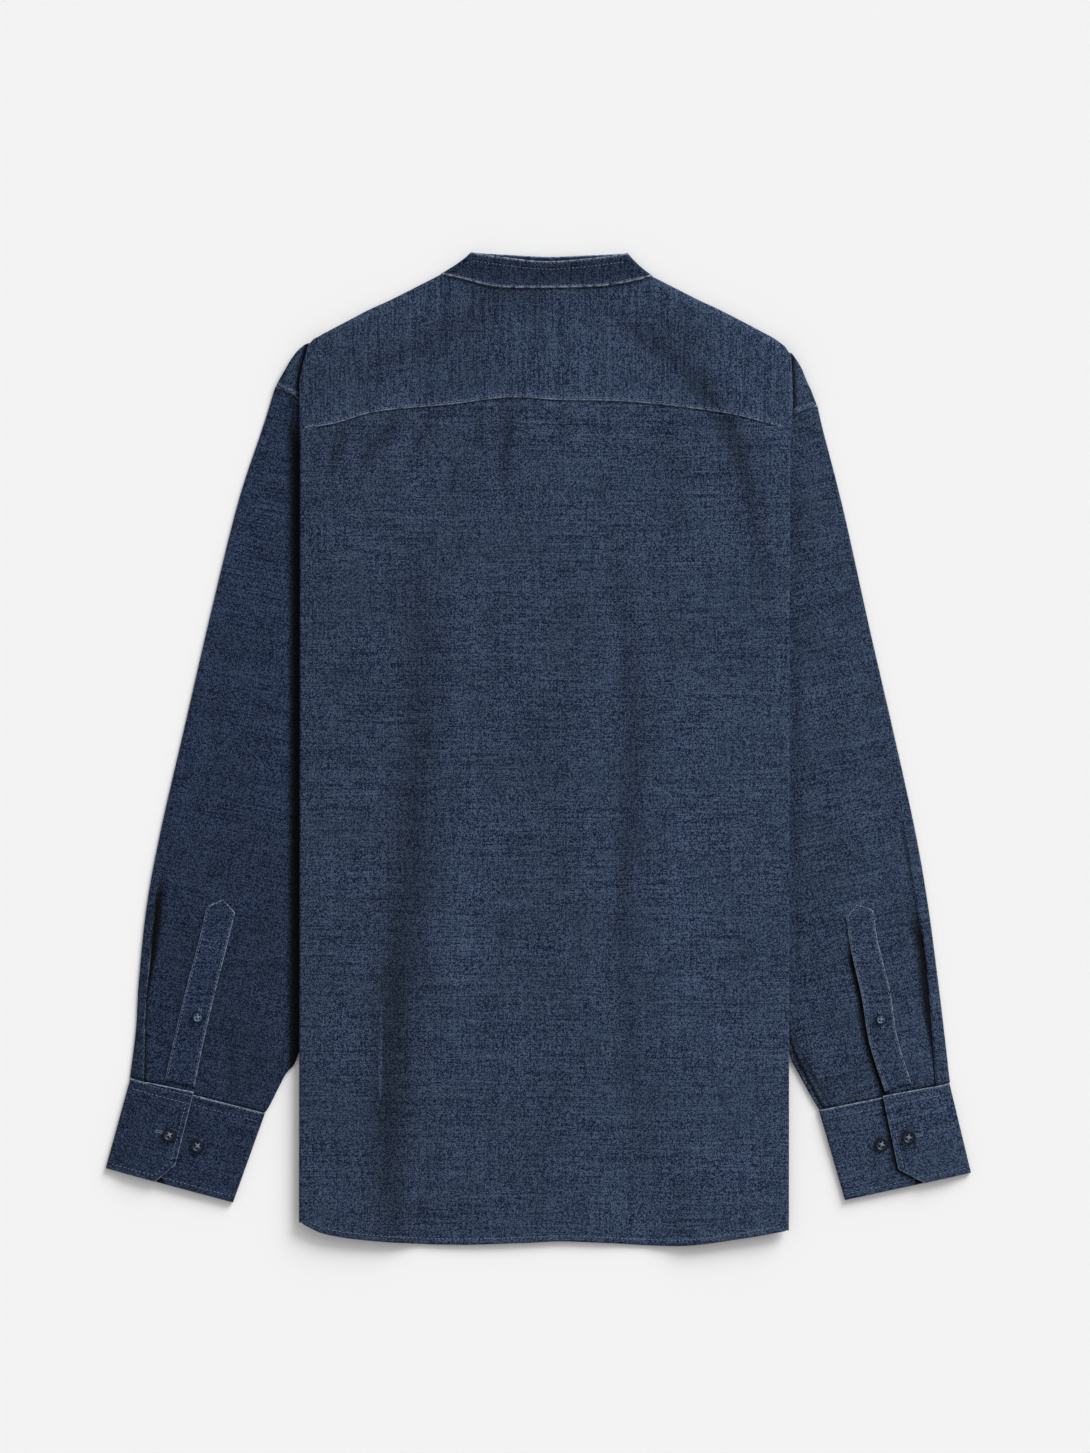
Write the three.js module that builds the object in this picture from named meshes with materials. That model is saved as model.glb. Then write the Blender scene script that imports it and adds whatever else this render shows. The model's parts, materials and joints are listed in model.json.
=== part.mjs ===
// A long-sleeved shirt with a band collar, laid face down on a surface with its back upwards.
// The sides of the body are turned under along a crease, and the sleeves are drawn down beside it.
import * as THREE from "three";

// Millimetres. X runs to the right from the centre of the back, Y from the lowest point of the hem
// up to the collar, Z up from the surface. In the tables of a side, x is measured outwards.
const cloth = 1; // wall of the shirting
const twoPly = 1.4; // wall of the band and the cuffs
const gap = 0.3; // between two pieces
const layer = cloth + gap;

const indigo = new THREE.MeshStandardMaterial({ color: 0x2d394c, roughness: 0.9, metalness: 0 });
const buttonBlue = new THREE.MeshStandardMaterial({ color: 0x2b3a4e, roughness: 0.45, metalness: 0 });

// Height of the middle of each wall where the side is turned under, from the surface up.
const stack = {
  front: cloth / 2,
  frontTurned: cloth / 2 + layer,
  frontTucked: cloth / 2 + 2 * layer,
  backTucked: cloth / 2 + 3 * layer,
  backTurned: cloth / 2 + 4 * layer,
  backTop: 8.4,
};

// The front bands overlap at the centre, left over right as worn, above the buttons.
const frontButton = { radius: 5.5, thickness: 2.2, first: 708, pitch: 92, count: 7, neck: 776 };
const overlap = { half: 16, flat: 2, slope: 18, front: 8 };
const bandSettles = { from: 70, to: 125 }; // below the last button the bands come down, at these heights
const bandUnder = frontButton.thickness + gap + cloth / 2;
const bandOver = bandUnder + layer;

// The back rises towards the neck and comes down at the hem, where nothing lies under its middle.
const loosePart = { from: 0.5, to: 0.62 }; // shares of the way out, to the parts turned under
const neckLift = { height: 0.9, from: 700, to: 766, inner: 30, outer: 80 };
const hemDrop = { centre: 2.4, side: 2.2, sideAt: 0.4, below: 30, above: 10 };
const creasesNearSides = 0.25; // share of a crease's depth where the back lies on the parts turned under

// Each table row is one station, with its columns named in the first argument.
function table(columns, rows) {
  const names = columns.split(" ");
  return rows.map((row) => Object.fromEntries(names.map((name, i) => [name, row[i]])));
}

const hem = table("x y", [
  [-196, 19.2], [-176, 10], [-135, 4], [-76, 0.8], [-12, 2.4],
  [12, 3.5], [44, 2.4], [108, 0], [160, 6.4], [196, 12.8],
]);
const yokeSeam = table("x y", [
  [-196, 653.4], [-167, 658.4], [-142, 666], [-120, 669.6], [-75, 673.6], [-28, 679.2],
  [12, 677.2], [66, 676], [118, 670.4], [154, 664.8], [196, 653.2],
]);
const neckSeam = table("x y", [
  [-82.8, 777.2], [-68, 774.6], [-41, 768], [-20, 766.8],
  [12, 767], [44, 768], [62, 770.6], [86, 775.6],
]);
const frontNeck = table("x y", [[-82.8, 777.2], [-50, 767], [0, 760], [50, 766], [86, 775.6]]);
const bandBackTop = table("x y", [[-57.2, 794.4], [-31.6, 790.8], [0, 787.6], [36.4, 790], [64.4, 793.6]]);
const bandFrontTop = table("x y", [[-58.8, 795.2], [-27.6, 793], [4.4, 791.2], [36.4, 792.8], [66, 794.4]]);
const bandSide = { left: { base: 83.6, top: 59 }, right: { base: 87, top: 66.5 } };

// How high the back lies across the body, from its centre (0) to its crease (1).
const backProfile = {
  left: table("out z", [
    [0, 5.9], [0.2, 5.75], [0.36, 5.3], [0.5, 4.7], [0.6, 6.3], [0.66, 7.25], [0.85, 8.1], [1, 8.4],
  ]),
  right: table("out z", [
    [0, 5.9], [0.2, 5.5], [0.34, 4.5], [0.42, 4.5], [0.5, 6], [0.57, 7.2], [0.8, 8], [1, 8.4],
  ]),
};

// Soft creases of the back: the line each follows, its half width and its depth.
const backCreases = [
  {
    half: 16, depth: 1.1,
    line: table("x y", [[-105, 540], [-98, 452], [-109, 342], [-110, 206], [-122, 98]]),
  },
  {
    half: 13, depth: 0.8,
    line: table("x y", [[57, 560], [66, 450], [69, 380], [60, 270], [80, 130], [85, 40]]),
  },
  { half: 10, depth: 0.9, line: table("x y", [[52, 738], [113, 690], [146, 646], [166, 581], [181, 517]]) },
  { half: 6, depth: 0.6, line: table("x y", [[-31, 673], [-30, 645], [-29, 616]]) },
  { half: 5, depth: 0.5, line: table("x y", [[-52, 672], [-52, 660], [-51, 646]]) },
];

const sides = {
  left: {
    sign: -1,
    shoulder: { x: 189.2, y: 720.8 },
    neck: { x: 82.8, y: 777.2 },
    shoulderEdge: table("x y", [
      [82.8, 777.2], [122.8, 756.8], [140.4, 748.8], [155.6, 740.8], [170.8, 732.8], [185.2, 724.8],
      [196.4, 716.8], [202.8, 708.8], [207.6, 700.8], [212.4, 692.8], [214.8, 688],
    ]),
    crease: table("y x", [[0, 196.4], [640, 195.6], [686, 196.4], [699, 194.8], [720.8, 189.2]]),
    tuck: table("y x", [[0, 130], [500, 130], [570, 138], [620, 152], [653, 167], [716, 181]]),
    armhole: table("y x", [
      [0, 136], [500, 136], [530, 138], [570, 146], [621, 162], [653, 178], [677.6, 196.4], [688, 214.8],
    ]),
    sleeveOuter: table("x y", [
      [214.8, 688], [226, 652.8], [239.6, 612.8], [250.8, 572.8], [270, 492.8], [288.4, 412.8],
      [306.8, 332.8], [318, 272.8], [324.4, 212.8], [326.8, 172.8], [331.6, 134.4],
    ]),
    sleeveInner: table("x y", [
      [139, 500], [165, 330], [190, 185], [198, 148.8], [206.8, 136.8], [219.6, 112], [223.6, 106.4],
    ]),
    pleat: { half: 4, depth: 1.2, line: table("x y", [[307, 302], [312, 274], [319, 192], [320.4, 136]]) },
    placket: {
      tip: { x: 257.2, y: 277 },
      line: table("x y half", [
        [258.8, 269, 11.6], [265.2, 242, 11.4], [275.6, 202, 11.6], [284.4, 165, 11.8], [292, 129.5, 12],
      ]),
      button: { x: 277, y: 183.2, radius: 5 },
    },
    cuff: {
      outerTop: { x: 331.6, y: 134.2 },
      innerTop: { x: 223.6, y: 106.2 },
      outerBottom: { x: 351.3, y: 62.4 },
      innerBottom: { x: 249.2, y: 34.9 },
      overlapEnd: { top: 0.473, mitre: 0.5, bottom: 0.39, mitreAt: 0.78 },
      buttons: table("x y", [[299.8, 89.3], [277.4, 80.3]]),
    },
  },
  right: {
    sign: 1,
    shoulder: { x: 197.2, y: 714.4 },
    neck: { x: 86, y: 775.6 },
    shoulderEdge: table("x y", [
      [86, 775.6], [122.8, 756.8], [140, 748.8], [155.6, 740.8], [170.8, 732.8], [185.2, 724.8],
      [194.8, 716.8], [201.2, 708.8], [206, 700.8], [209.2, 692.8], [213.2, 684.8], [218, 672.8],
    ]),
    crease: table("y x", [[0, 195.6], [613, 196.4], [649, 197.2], [677, 198.8], [714.4, 197.2]]),
    tuck: table("y x", [[0, 112], [490, 112], [570, 124], [620, 142], [653, 163], [708, 187]]),
    armhole: table("y x", [
      [0, 118], [490, 118], [520, 121], [570, 132], [615, 154], [645, 178], [664.8, 199.6], [672.8, 218],
    ]),
    sleeveOuter: table("x y", [
      [218, 672.8], [222.8, 652.8], [233.2, 612.8], [242.8, 572.8], [260.4, 492.8], [278.8, 412.8],
      [296.4, 332.8], [306.8, 272.8], [314.8, 212.8], [319.6, 172.8], [324.4, 130.4],
    ]),
    sleeveInner: table("x y", [
      [121, 490], [155, 330], [187, 190], [196.8, 150.4], [200, 143], [214, 117.6], [219.6, 108.8],
    ]),
    pleat: {
      half: 4, depth: 1.2,
      line: table("x y", [[284, 352], [292, 302], [305, 236], [311, 160], [313, 132]]),
    },
    placket: {
      tip: { x: 250, y: 272.8 },
      line: table("x y half", [
        [252, 266, 11], [256, 240, 11.2], [265, 202, 11.6], [271, 165, 11.4], [281.6, 130.5, 10.8],
      ]),
      button: { x: 269.2, y: 181.6, radius: 4.8 },
    },
    cuff: {
      outerTop: { x: 324.4, y: 130.2 },
      innerTop: { x: 219.6, y: 108.6 },
      outerBottom: { x: 341.6, y: 58.8 },
      innerBottom: { x: 240.4, y: 36.8 },
      overlapEnd: { top: 0.513, mitre: 0.54, bottom: 0.37, mitreAt: 0.8 },
      buttons: table("x y", [[291.2, 87.2], [269.8, 81.3]]),
    },
  },
};

const lerp = THREE.MathUtils.lerp;
const clamp01 = (t) => THREE.MathUtils.clamp(t, 0, 1);
const ease = (low, high, value) => THREE.MathUtils.smoothstep(value, low, high);

// The value of one column at a given value of another, on a smooth curve through the rows.
function read(rows, from, to, at) {
  const last = rows.length - 1;
  if (at <= rows[0][from]) return rows[0][to];
  if (at >= rows[last][from]) return rows[last][to];
  const i = rows.findIndex((row) => row[from] > at) - 1;
  const slope = (k) => {
    const a = rows[Math.max(k - 1, 0)];
    const b = rows[Math.min(k + 1, last)];
    return (b[to] - a[to]) / (b[from] - a[from]);
  };
  const span = rows[i + 1][from] - rows[i][from];
  const t = (at - rows[i][from]) / span;
  const bend = t * t * (3 - 2 * t);
  const rise = t * (1 - t) * (1 - t) * span * slope(i);
  const fall = t * t * (1 - t) * span * slope(i + 1);
  return lerp(rows[i][to], rows[i + 1][to], bend) + rise - fall;
}

// How deep a crease is at a point: a soft trough along its line, fading out at both ends.
const creaseEnd = 0.08;
function creaseDepth(crease, x, y) {
  const rows = crease.line;
  let nearest = Infinity;
  let along = 0;
  for (let i = 0; i < rows.length - 1; i += 1) {
    const dx = rows[i + 1].x - rows[i].x;
    const dy = rows[i + 1].y - rows[i].y;
    const t = clamp01(((x - rows[i].x) * dx + (y - rows[i].y) * dy) / (dx * dx + dy * dy));
    const distance = Math.hypot(x - rows[i].x - t * dx, y - rows[i].y - t * dy);
    if (distance < nearest) {
      nearest = distance;
      along = (i + t) / (rows.length - 1);
    }
  }
  const fade = Math.sin(Math.PI * lerp(creaseEnd, 1 - creaseEnd, along));
  return crease.depth * Math.exp(-((nearest / crease.half) ** 2)) * fade;
}

// A closed wall of the given thickness on a grid of points in its middle surface.
function wall(name, grid, thickness, material, closed = false) {
  const rowCount = grid.length;
  const columnCount = grid[0].length;
  const positions = [];
  for (const side of [1, -1]) {
    for (let r = 0; r < rowCount; r += 1) {
      for (let c = 0; c < columnCount; c += 1) {
        const before = closed ? (c + columnCount - 1) % columnCount : Math.max(c - 1, 0);
        const after = closed ? (c + 1) % columnCount : Math.min(c + 1, columnCount - 1);
        const across = grid[r][after].clone().sub(grid[r][before]);
        const down = grid[Math.min(r + 1, rowCount - 1)][c].clone().sub(grid[Math.max(r - 1, 0)][c]);
        const normal = across.cross(down).normalize();
        const point = grid[r][c].clone().addScaledVector(normal, (side * thickness) / 2);
        positions.push(point.x, point.y, point.z);
      }
    }
  }
  const at = (side, r, c) => side * rowCount * columnCount + r * columnCount + (c % columnCount);
  const index = [];
  const quad = (a, b, c, d) => index.push(a, b, c, a, c, d);
  const spans = closed ? columnCount : columnCount - 1;
  for (let c = 0; c < spans; c += 1) {
    for (let r = 0; r < rowCount - 1; r += 1) {
      quad(at(0, r, c), at(0, r, c + 1), at(0, r + 1, c + 1), at(0, r + 1, c));
      quad(at(1, r, c), at(1, r + 1, c), at(1, r + 1, c + 1), at(1, r, c + 1));
    }
    quad(at(0, 0, c + 1), at(0, 0, c), at(1, 0, c), at(1, 0, c + 1));
    const last = rowCount - 1;
    quad(at(0, last, c), at(0, last, c + 1), at(1, last, c + 1), at(1, last, c));
  }
  for (let r = 0; r < rowCount - 1 && !closed; r += 1) {
    quad(at(0, r, 0), at(0, r + 1, 0), at(1, r + 1, 0), at(1, r, 0));
    quad(at(0, r + 1, spans), at(0, r, spans), at(1, r, spans), at(1, r + 1, spans));
  }
  let volume = 0;
  const corner = (i) => new THREE.Vector3().fromArray(positions, 3 * index[i]);
  for (let i = 0; i < index.length; i += 3) {
    volume += corner(i).dot(corner(i + 1).cross(corner(i + 2)));
  }
  if (volume < 0) index.reverse();
  const geometry = new THREE.BufferGeometry();
  geometry.setAttribute("position", new THREE.Float32BufferAttribute(positions, 3));
  geometry.setIndex(index);
  geometry.computeVertexNormals();
  const mesh = new THREE.Mesh(geometry, material);
  mesh.name = name;
  return mesh;
}

const steps = (from, to, count) => Array.from({ length: count }, (_, i) => lerp(from, to, i / (count - 1)));

// Height of the middle of the back's wall, from which its creases are pressed down.
function backHeight(x, y) {
  const side = x < 0 ? sides.left : sides.right;
  const out = Math.abs(x) / read(side.crease, "y", "x", y);
  const laid = read(x < 0 ? backProfile.left : backProfile.right, "out", "z", out);
  const loose = 1 - ease(loosePart.from, loosePart.to, out);
  const nearHem = 1 - ease(bandSettles.from - hemDrop.below, bandSettles.to + hemDrop.above, y);
  const besideNeck = ease(neckLift.inner, neckLift.outer, Math.abs(x));
  const nearNeck = ease(neckLift.from, neckLift.to, y) * (1 - besideNeck);
  const drop = lerp(hemDrop.centre, hemDrop.side, clamp01(out / hemDrop.sideAt));
  const press = backCreases.reduce((sum, crease) => sum + creaseDepth(crease, x, y), 0);
  const clear = lerp(creasesNearSides, 1, 1 - ease(loosePart.from, loosePart.to - 0.02, out));
  return laid + neckLift.height * nearNeck - loose * nearHem * drop - press * clear * (1 - nearHem);
}

// One half of a section of the body, from the centre line out: its open part, the crease, the part
// turned under, the inner fold and the part tucked back to the armhole or the side seam.
const openPart = [0, 0.07, 0.14, 0.21, 0.27, 0.33, 0.39, 0.437, 0.51, 0.59, 0.68, 0.78, 0.88, 0.95];
const fold = [-90, -54, -18, 18, 54, 90].map(THREE.MathUtils.degToRad);
const tightFold = [-90, -30, 30, 90].map(THREE.MathUtils.degToRad);
const turnedPart = [0.3, 0.65];
const tuckedPart = [0.35, 0.6, 0.8, 1];

function halfSection(side, levels, place) {
  const points = [];
  const add = (part, t, x, z) => points.push({ part, t, x: side.sign * x, z });
  const { crease, tuck, edge } = place;
  const outerRadius = Math.abs(levels.top - levels.turned) / 2;
  const innerRadius = Math.abs(levels.turned - levels.tucked) / 2;
  const outerX = crease - cloth / 2 - outerRadius;
  const innerX = tuck + cloth / 2 + innerRadius;
  const downwards = Math.sign(levels.turned - levels.top);
  for (const t of place.open) add("open", t, t * outerX, levels.top);
  for (const turn of fold) {
    const z = (levels.top + levels.turned) / 2 + downwards * outerRadius * Math.sin(turn);
    add("crease", (turn / Math.PI + 0.5), outerX + outerRadius * Math.cos(turn), z);
  }
  for (const t of turnedPart) add("turned", t, lerp(outerX, innerX, t), levels.turned);
  for (const turn of tightFold) {
    const z = (levels.turned + levels.tucked) / 2 + downwards * innerRadius * Math.sin(turn);
    add("tuck", (turn / Math.PI + 0.5), innerX - innerRadius * Math.cos(turn), z);
  }
  for (const t of tuckedPart) add("tucked", t, lerp(innerX, edge, t), levels.tucked);
  return points;
}

// How far the cloth beside the body has come down to the surface, at these distances from the crease.
const comesDown = { from: 7, to: 27 };
const laidDown = (side, x, y) => {
  const crease = read(side.crease, "y", "x", y);
  return ease(crease + comesDown.from, crease + comesDown.to, Math.abs(x));
};
const besideFront = stack.front + layer + 0.2; // the back's cloth on the front's, beside the body
const besideBody = (side, x, y, level, floorLevel) => lerp(level, floorLevel, laidDown(side, x, y));

const shoulderLine = (side, x) => read(side.shoulderEdge, "x", "y", Math.abs(x));

// The upper edge of the part tucked back, which goes on with the shoulder line beyond the crease.
const underCorner = 4;
function tuckedTop(side, t) {
  const inner = read(side.tuck, "y", "x", side.shoulder.y);
  const x = lerp(inner, side.armhole.at(-1).x, t);
  return Math.min(shoulderLine(side, x), side.shoulder.y - underCorner);
}

// A row of the yoke or the back. The station v runs from the piece's upper edge (0) to its lower one.
function backRow(v, upperEdge, lowerEdge, stationsAt) {
  const half = (side) => {
    const at = stationsAt(side, v);
    const place = {
      crease: read(side.crease, "y", "x", at.crease),
      tuck: read(side.tuck, "y", "x", at.tuck),
      edge: read(side.armhole, "y", "x", at.tucked(1)) - gap / 2,
      open: openPart,
    };
    const levels = { top: stack.backTop, turned: stack.backTurned, tucked: stack.backTucked };
    return halfSection(side, levels, place).map((point) => {
      const { part, t, x } = point;
      if (part === "open") {
        const y = lerp(upperEdge(side, x), lowerEdge(side, x), v);
        return new THREE.Vector3(x, y, yokeRoll(side, x, y, backHeight(x, y)));
      }
      const reach = { crease: 0, turned: t, tuck: 1, tucked: 1 + t }[part];
      const y = reach <= 1 ? lerp(at.crease, at.tuck, reach) : at.tucked(reach - 1);
      const z = part === "tucked" ? besideBody(side, x, y, point.z, besideFront) : point.z;
      return new THREE.Vector3(x, y, z);
    });
  };
  return [...half(sides.left).reverse(), ...half(sides.right).slice(1)];
}

// Towards the shoulder seam the yoke rolls down to meet the front.
const shoulderLap = 0.3; // the front's shoulder edge rises by this and a layer to meet the yoke
const roll = { reach: 9, seam: stack.front + layer + shoulderLap + layer, neckIn: 4, neckOut: 12 };
const corner = { from: 16, to: 4 }; // inwards from the end of the shoulder, where the rolls end
function yokeRoll(side, x, y, z) {
  const out = Math.abs(x);
  if (out < side.neck.x - roll.neckIn) return z;
  const inset = clamp01((shoulderLine(side, x) - y) / roll.reach);
  const arc = Math.sqrt(1 - (1 - inset) ** 2);
  const held = ease(side.shoulder.x - corner.from, side.shoulder.x - corner.to, out);
  const fromNeck = ease(side.neck.x - roll.neckIn, side.neck.x + roll.neckOut, out);
  return lerp(z, lerp(roll.seam, z, Math.max(arc, held)), fromNeck);
}

const upperEdgeOfYoke = (side, x) =>
  Math.abs(x) < side.neck.x ? read(neckSeam, "x", "y", x) - gap / 2 : shoulderLine(side, x);
const creaseX = 196;
const atCrease = (side, rows) => read(rows, "x", "y", side.sign * creaseX);
const creaseHem = (side) => atCrease(side, hem);
const sideSeamRise = 40;

function makeYoke() {
  const rows = [0, 0.03, 0.08, 0.18, 0.3, 0.42, 0.58, 0.78, 1];
  const stations = (side, v) => {
    const seam = atCrease(side, yokeSeam) + gap / 2;
    return {
      crease: lerp(side.shoulder.y, seam, v),
      tuck: lerp(side.shoulder.y - underCorner, seam, v),
      tucked: (t) => lerp(tuckedTop(side, t), seam, v),
    };
  };
  const lower = (side, x) => read(yokeSeam, "x", "y", x) + gap / 2;
  const grid = rows.map((v) => backRow(v, upperEdgeOfYoke, lower, stations));
  return wall("yoke", grid, cloth, indigo);
}

function makeBack() {
  const rows = [0, 0.03, 0.08, 0.15, 0.22, 0.3, 0.38, 0.46, 0.54, 0.62, 0.7, 0.78, 0.85, 0.91, 0.96, 1];
  const stations = (side, v) => {
    const seam = atCrease(side, yokeSeam) - gap / 2;
    const low = creaseHem(side);
    return {
      crease: lerp(seam, low, v),
      tuck: lerp(seam, low + sideSeamRise, v),
      tucked: () => lerp(seam, low + sideSeamRise, v),
    };
  };
  const upper = (side, x) => read(yokeSeam, "x", "y", x) - gap / 2;
  const lower = (side, x) => read(hem, "x", "y", x);
  const grid = rows.map((v) => backRow(v, upper, lower, stations));
  return wall("back_panel", grid, cloth, indigo);
}

// The fronts lie on the surface and rise over the buttons at the centre.
const frontInset = 6; // the front's crease lies inside the back's by this
const frontRoll = 5;
function frontHeight(side, x, y, bandLevel) {
  const out = side.sign * x;
  const onBand = 1 - ease(overlap.half + overlap.flat, overlap.half + overlap.slope, out);
  const raised = ease(bandSettles.from, bandSettles.to, y);
  const level = bandLevel - (frontButton.thickness + gap) * (1 - raised);
  const toShoulder = clamp01((shoulderLine(side, x) - y) / frontRoll);
  const atShoulder = out > side.neck.x ? (1 - Math.sqrt(1 - (1 - toShoulder) ** 2)) : 0;
  const free = 1 - ease(side.shoulder.x - corner.from, side.shoulder.x - corner.to, out);
  return lerp(stack.front, level, onBand) + (layer + shoulderLap) * atShoulder * free;
}

function makeFront(side, name, bandLevel) {
  const rows = [0, 0.008, 0.017, 0.033, 0.06, 0.1, 0.16, 0.24, 0.35, 0.5, 0.66, 0.84, 0.92, 1];
  const grid = rows.map((v) => {
    const low = creaseHem(side) + overlap.front;
    const creaseY = lerp(side.shoulder.y, low, v);
    const tuckY = lerp(side.shoulder.y - underCorner, low + sideSeamRise, v);
    const tucked = (t) => lerp(tuckedTop(side, t), low + sideSeamRise, v);
    const place = {
      crease: read(side.crease, "y", "x", creaseY) - frontInset,
      tuck: read(side.tuck, "y", "x", tuckY),
      edge: read(side.armhole, "y", "x", tucked(1)) - gap / 2,
      open: [-0.083, 0, 0.083, 0.13, 0.18, 0.3, 0.445, 0.62, 0.8, 0.94],
    };
    const levels = { top: stack.front, turned: stack.frontTurned, tucked: stack.frontTucked };
    return halfSection(side, levels, place).map(({ part, t, x, z }) => {
      if (part === "open") {
        const out = side.sign * x;
        const top = out < side.neck.x ? read(frontNeck, "x", "y", x) - gap : shoulderLine(side, x);
        const y = lerp(top, read(hem, "x", "y", x) + overlap.front, v);
        return new THREE.Vector3(x, y, frontHeight(side, x, y, bandLevel));
      }
      const reach = { crease: 0, turned: t, tuck: 1, tucked: 1 + t }[part];
      const y = reach <= 1 ? lerp(creaseY, tuckY, reach) : tucked(reach - 1);
      const laid = part === "tucked" ? besideBody(side, x, y, z, stack.front) : z;
      return new THREE.Vector3(x, y, laid);
    });
  });
  return wall(name, grid, cloth, indigo);
}

// The band is a flattened ring, open at the centre front, its left end over its right one as worn.
const bandEnd = 13; // each end passes the centre front by this
const bandBack = { middle: 6.6, sides: 5.4, from: 20, to: 78 };
const bandFront = { from: 14, to: 46 };

function makeBand() {
  const backLevel = (x) =>
    lerp(bandBack.middle, bandBack.sides, ease(bandBack.from, bandBack.to, Math.abs(x)));
  const frontLevel = (x, centre) => lerp(centre, twoPly / 2, ease(bandFront.from, bandFront.to, Math.abs(x)));
  const under = frontButton.thickness + gap + twoPly / 2;
  const over = under + twoPly + gap;
  const rows = [0, 0.25, 0.5, 0.75, 1];
  const width = (side, v) => lerp(bandSide[side].base, bandSide[side].top, v);
  const grid = rows.map((v) => {
    const ring = [];
    const put = (x, bottom, top, z) => {
      const low = read(bottom, "x", "y", x) + gap;
      ring.push(new THREE.Vector3(x, lerp(low, read(top, "x", "y", x), v), z));
    };
    const leftEdge = -width("left", v);
    const rightEdge = width("right", v);
    for (const x of steps(bandEnd, -bandEnd, 4)) put(x, frontNeck, bandFrontTop, under);
    const leftTurn = (backLevel(leftEdge) - twoPly / 2) / 2;
    for (const t of [0.25, 0.5, 0.75, 0.92]) {
      const x = lerp(-bandEnd, leftEdge + leftTurn + twoPly / 2, t);
      put(x, frontNeck, bandFrontTop, frontLevel(x, under));
    }
    const middle = (backLevel(leftEdge) + twoPly / 2) / 2;
    for (const turn of fold) {
      const x = leftEdge + leftTurn + twoPly / 2 - leftTurn * Math.cos(turn);
      const [lower, upper] = turn < 0 ? [frontNeck, bandFrontTop] : [neckSeam, bandBackTop];
      put(x, lower, upper, middle + leftTurn * Math.sin(turn));
    }
    const from = leftEdge + leftTurn + twoPly / 2;
    const to = rightEdge - leftTurn - twoPly / 2;
    for (const t of steps(0, 1, 14).slice(1, -1)) {
      const x = lerp(from, to, t);
      put(x, neckSeam, bandBackTop, backLevel(x));
    }
    for (const turn of fold) {
      const x = to + leftTurn * Math.cos(turn);
      const [lower, upper] = turn < 0 ? [neckSeam, bandBackTop] : [frontNeck, bandFrontTop];
      put(x, lower, upper, middle - leftTurn * Math.sin(turn));
    }
    for (const t of [0.08, 0.25, 0.5, 0.75]) {
      const x = lerp(to, bandEnd, t);
      put(x, frontNeck, bandFrontTop, frontLevel(x, over));
    }
    for (const x of steps(bandEnd, -bandEnd, 4)) put(x, frontNeck, bandFrontTop, over);
    return ring;
  });
  return wall("collar_band", grid, twoPly, indigo);
}

// A sleeve is a flattened tube between its outer and inner edges, from the armhole to the cuff.
const armholeSteps = 24;
const underarmGap = 3; // the sleeve's clearance of the body grows to this at the underarm
function sleeveEdges(side) {
  const top = side.armhole.at(-1).y;
  const underarm = side.sleeveInner[0].y;
  const armhole = steps(0, 1, armholeSteps).map((t) => {
    const y = lerp(top, underarm, t * t);
    const clear = lerp(gap, underarmGap, t);
    return new THREE.Vector2(read(side.armhole, "y", "x", y) + clear, y - lerp(gap, 0, t));
  });
  const edge = (start, rows) =>
    new THREE.SplineCurve([start, ...rows.slice(1).map(({ x, y }) => new THREE.Vector2(x, y))]);
  return {
    armhole: new THREE.SplineCurve(armhole),
    outer: edge(armhole[0], side.sleeveOuter),
    inner: edge(armhole.at(-1), side.sleeveInner),
  };
}
for (const side of Object.values(sides)) side.edges = sleeveEdges(side);

// The point of the sleeve's plan at u across, from its outer edge, and v along, from the armhole.
function sleevePlan(side, u, v) {
  const { armhole, outer, inner } = side.edges;
  const a = armhole.getPointAt(u);
  const o = outer.getPointAt(v);
  const i = inner.getPointAt(v);
  const [a0, a1] = [armhole.getPointAt(0), armhole.getPointAt(1)];
  const [b0, b1] = [outer.getPointAt(1), inner.getPointAt(1)];
  const b = b0.clone().lerp(b1, u);
  const corners = a0.clone().lerp(a1, u).lerp(b, v);
  return a.lerp(b, v).add(o.lerp(i, u)).sub(corners);
}

// The upper wall of a sleeve is crowned, less so at its two ends.
const sleevePuff = { height: 3.2, edge: 0.4, power: 0.8, from: 0.12, cuffFrom: 0.8, cuffShare: 0.45 };
const pleatRoom = 2.5; // how soon a pleat reaches its whole depth, away from the sleeve's edges
function sleeveHeights(side, u, v) {
  const { x, y } = sleevePlan(side, u, v);
  const down = laidDown(side, x, y);
  const lower = lerp(stack.frontTucked, stack.front, down);
  const crown = Math.sin(Math.PI * clamp01(u)) ** sleevePuff.power;
  const ends = ease(0, sleevePuff.from, v) * (1 - sleevePuff.cuffShare * ease(sleevePuff.cuffFrom, 1, v));
  const pleat = creaseDepth(side.pleat, x, y) * Math.min(1, crown * pleatRoom);
  const upper = lower + layer + down * ends * (sleevePuff.height * crown + sleevePuff.edge - pleat);
  return { lower, upper };
}

function sleevePoint(side, u, v, share) {
  const plan = sleevePlan(side, u, v);
  const { lower, upper } = sleeveHeights(side, u, v);
  return new THREE.Vector3(side.sign * plan.x, plan.y, lerp(lower, upper, share));
}

const sleeveFold = { outer: 0.002, inner: 0.995 }; // the middles of the folds along the two edges

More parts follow.
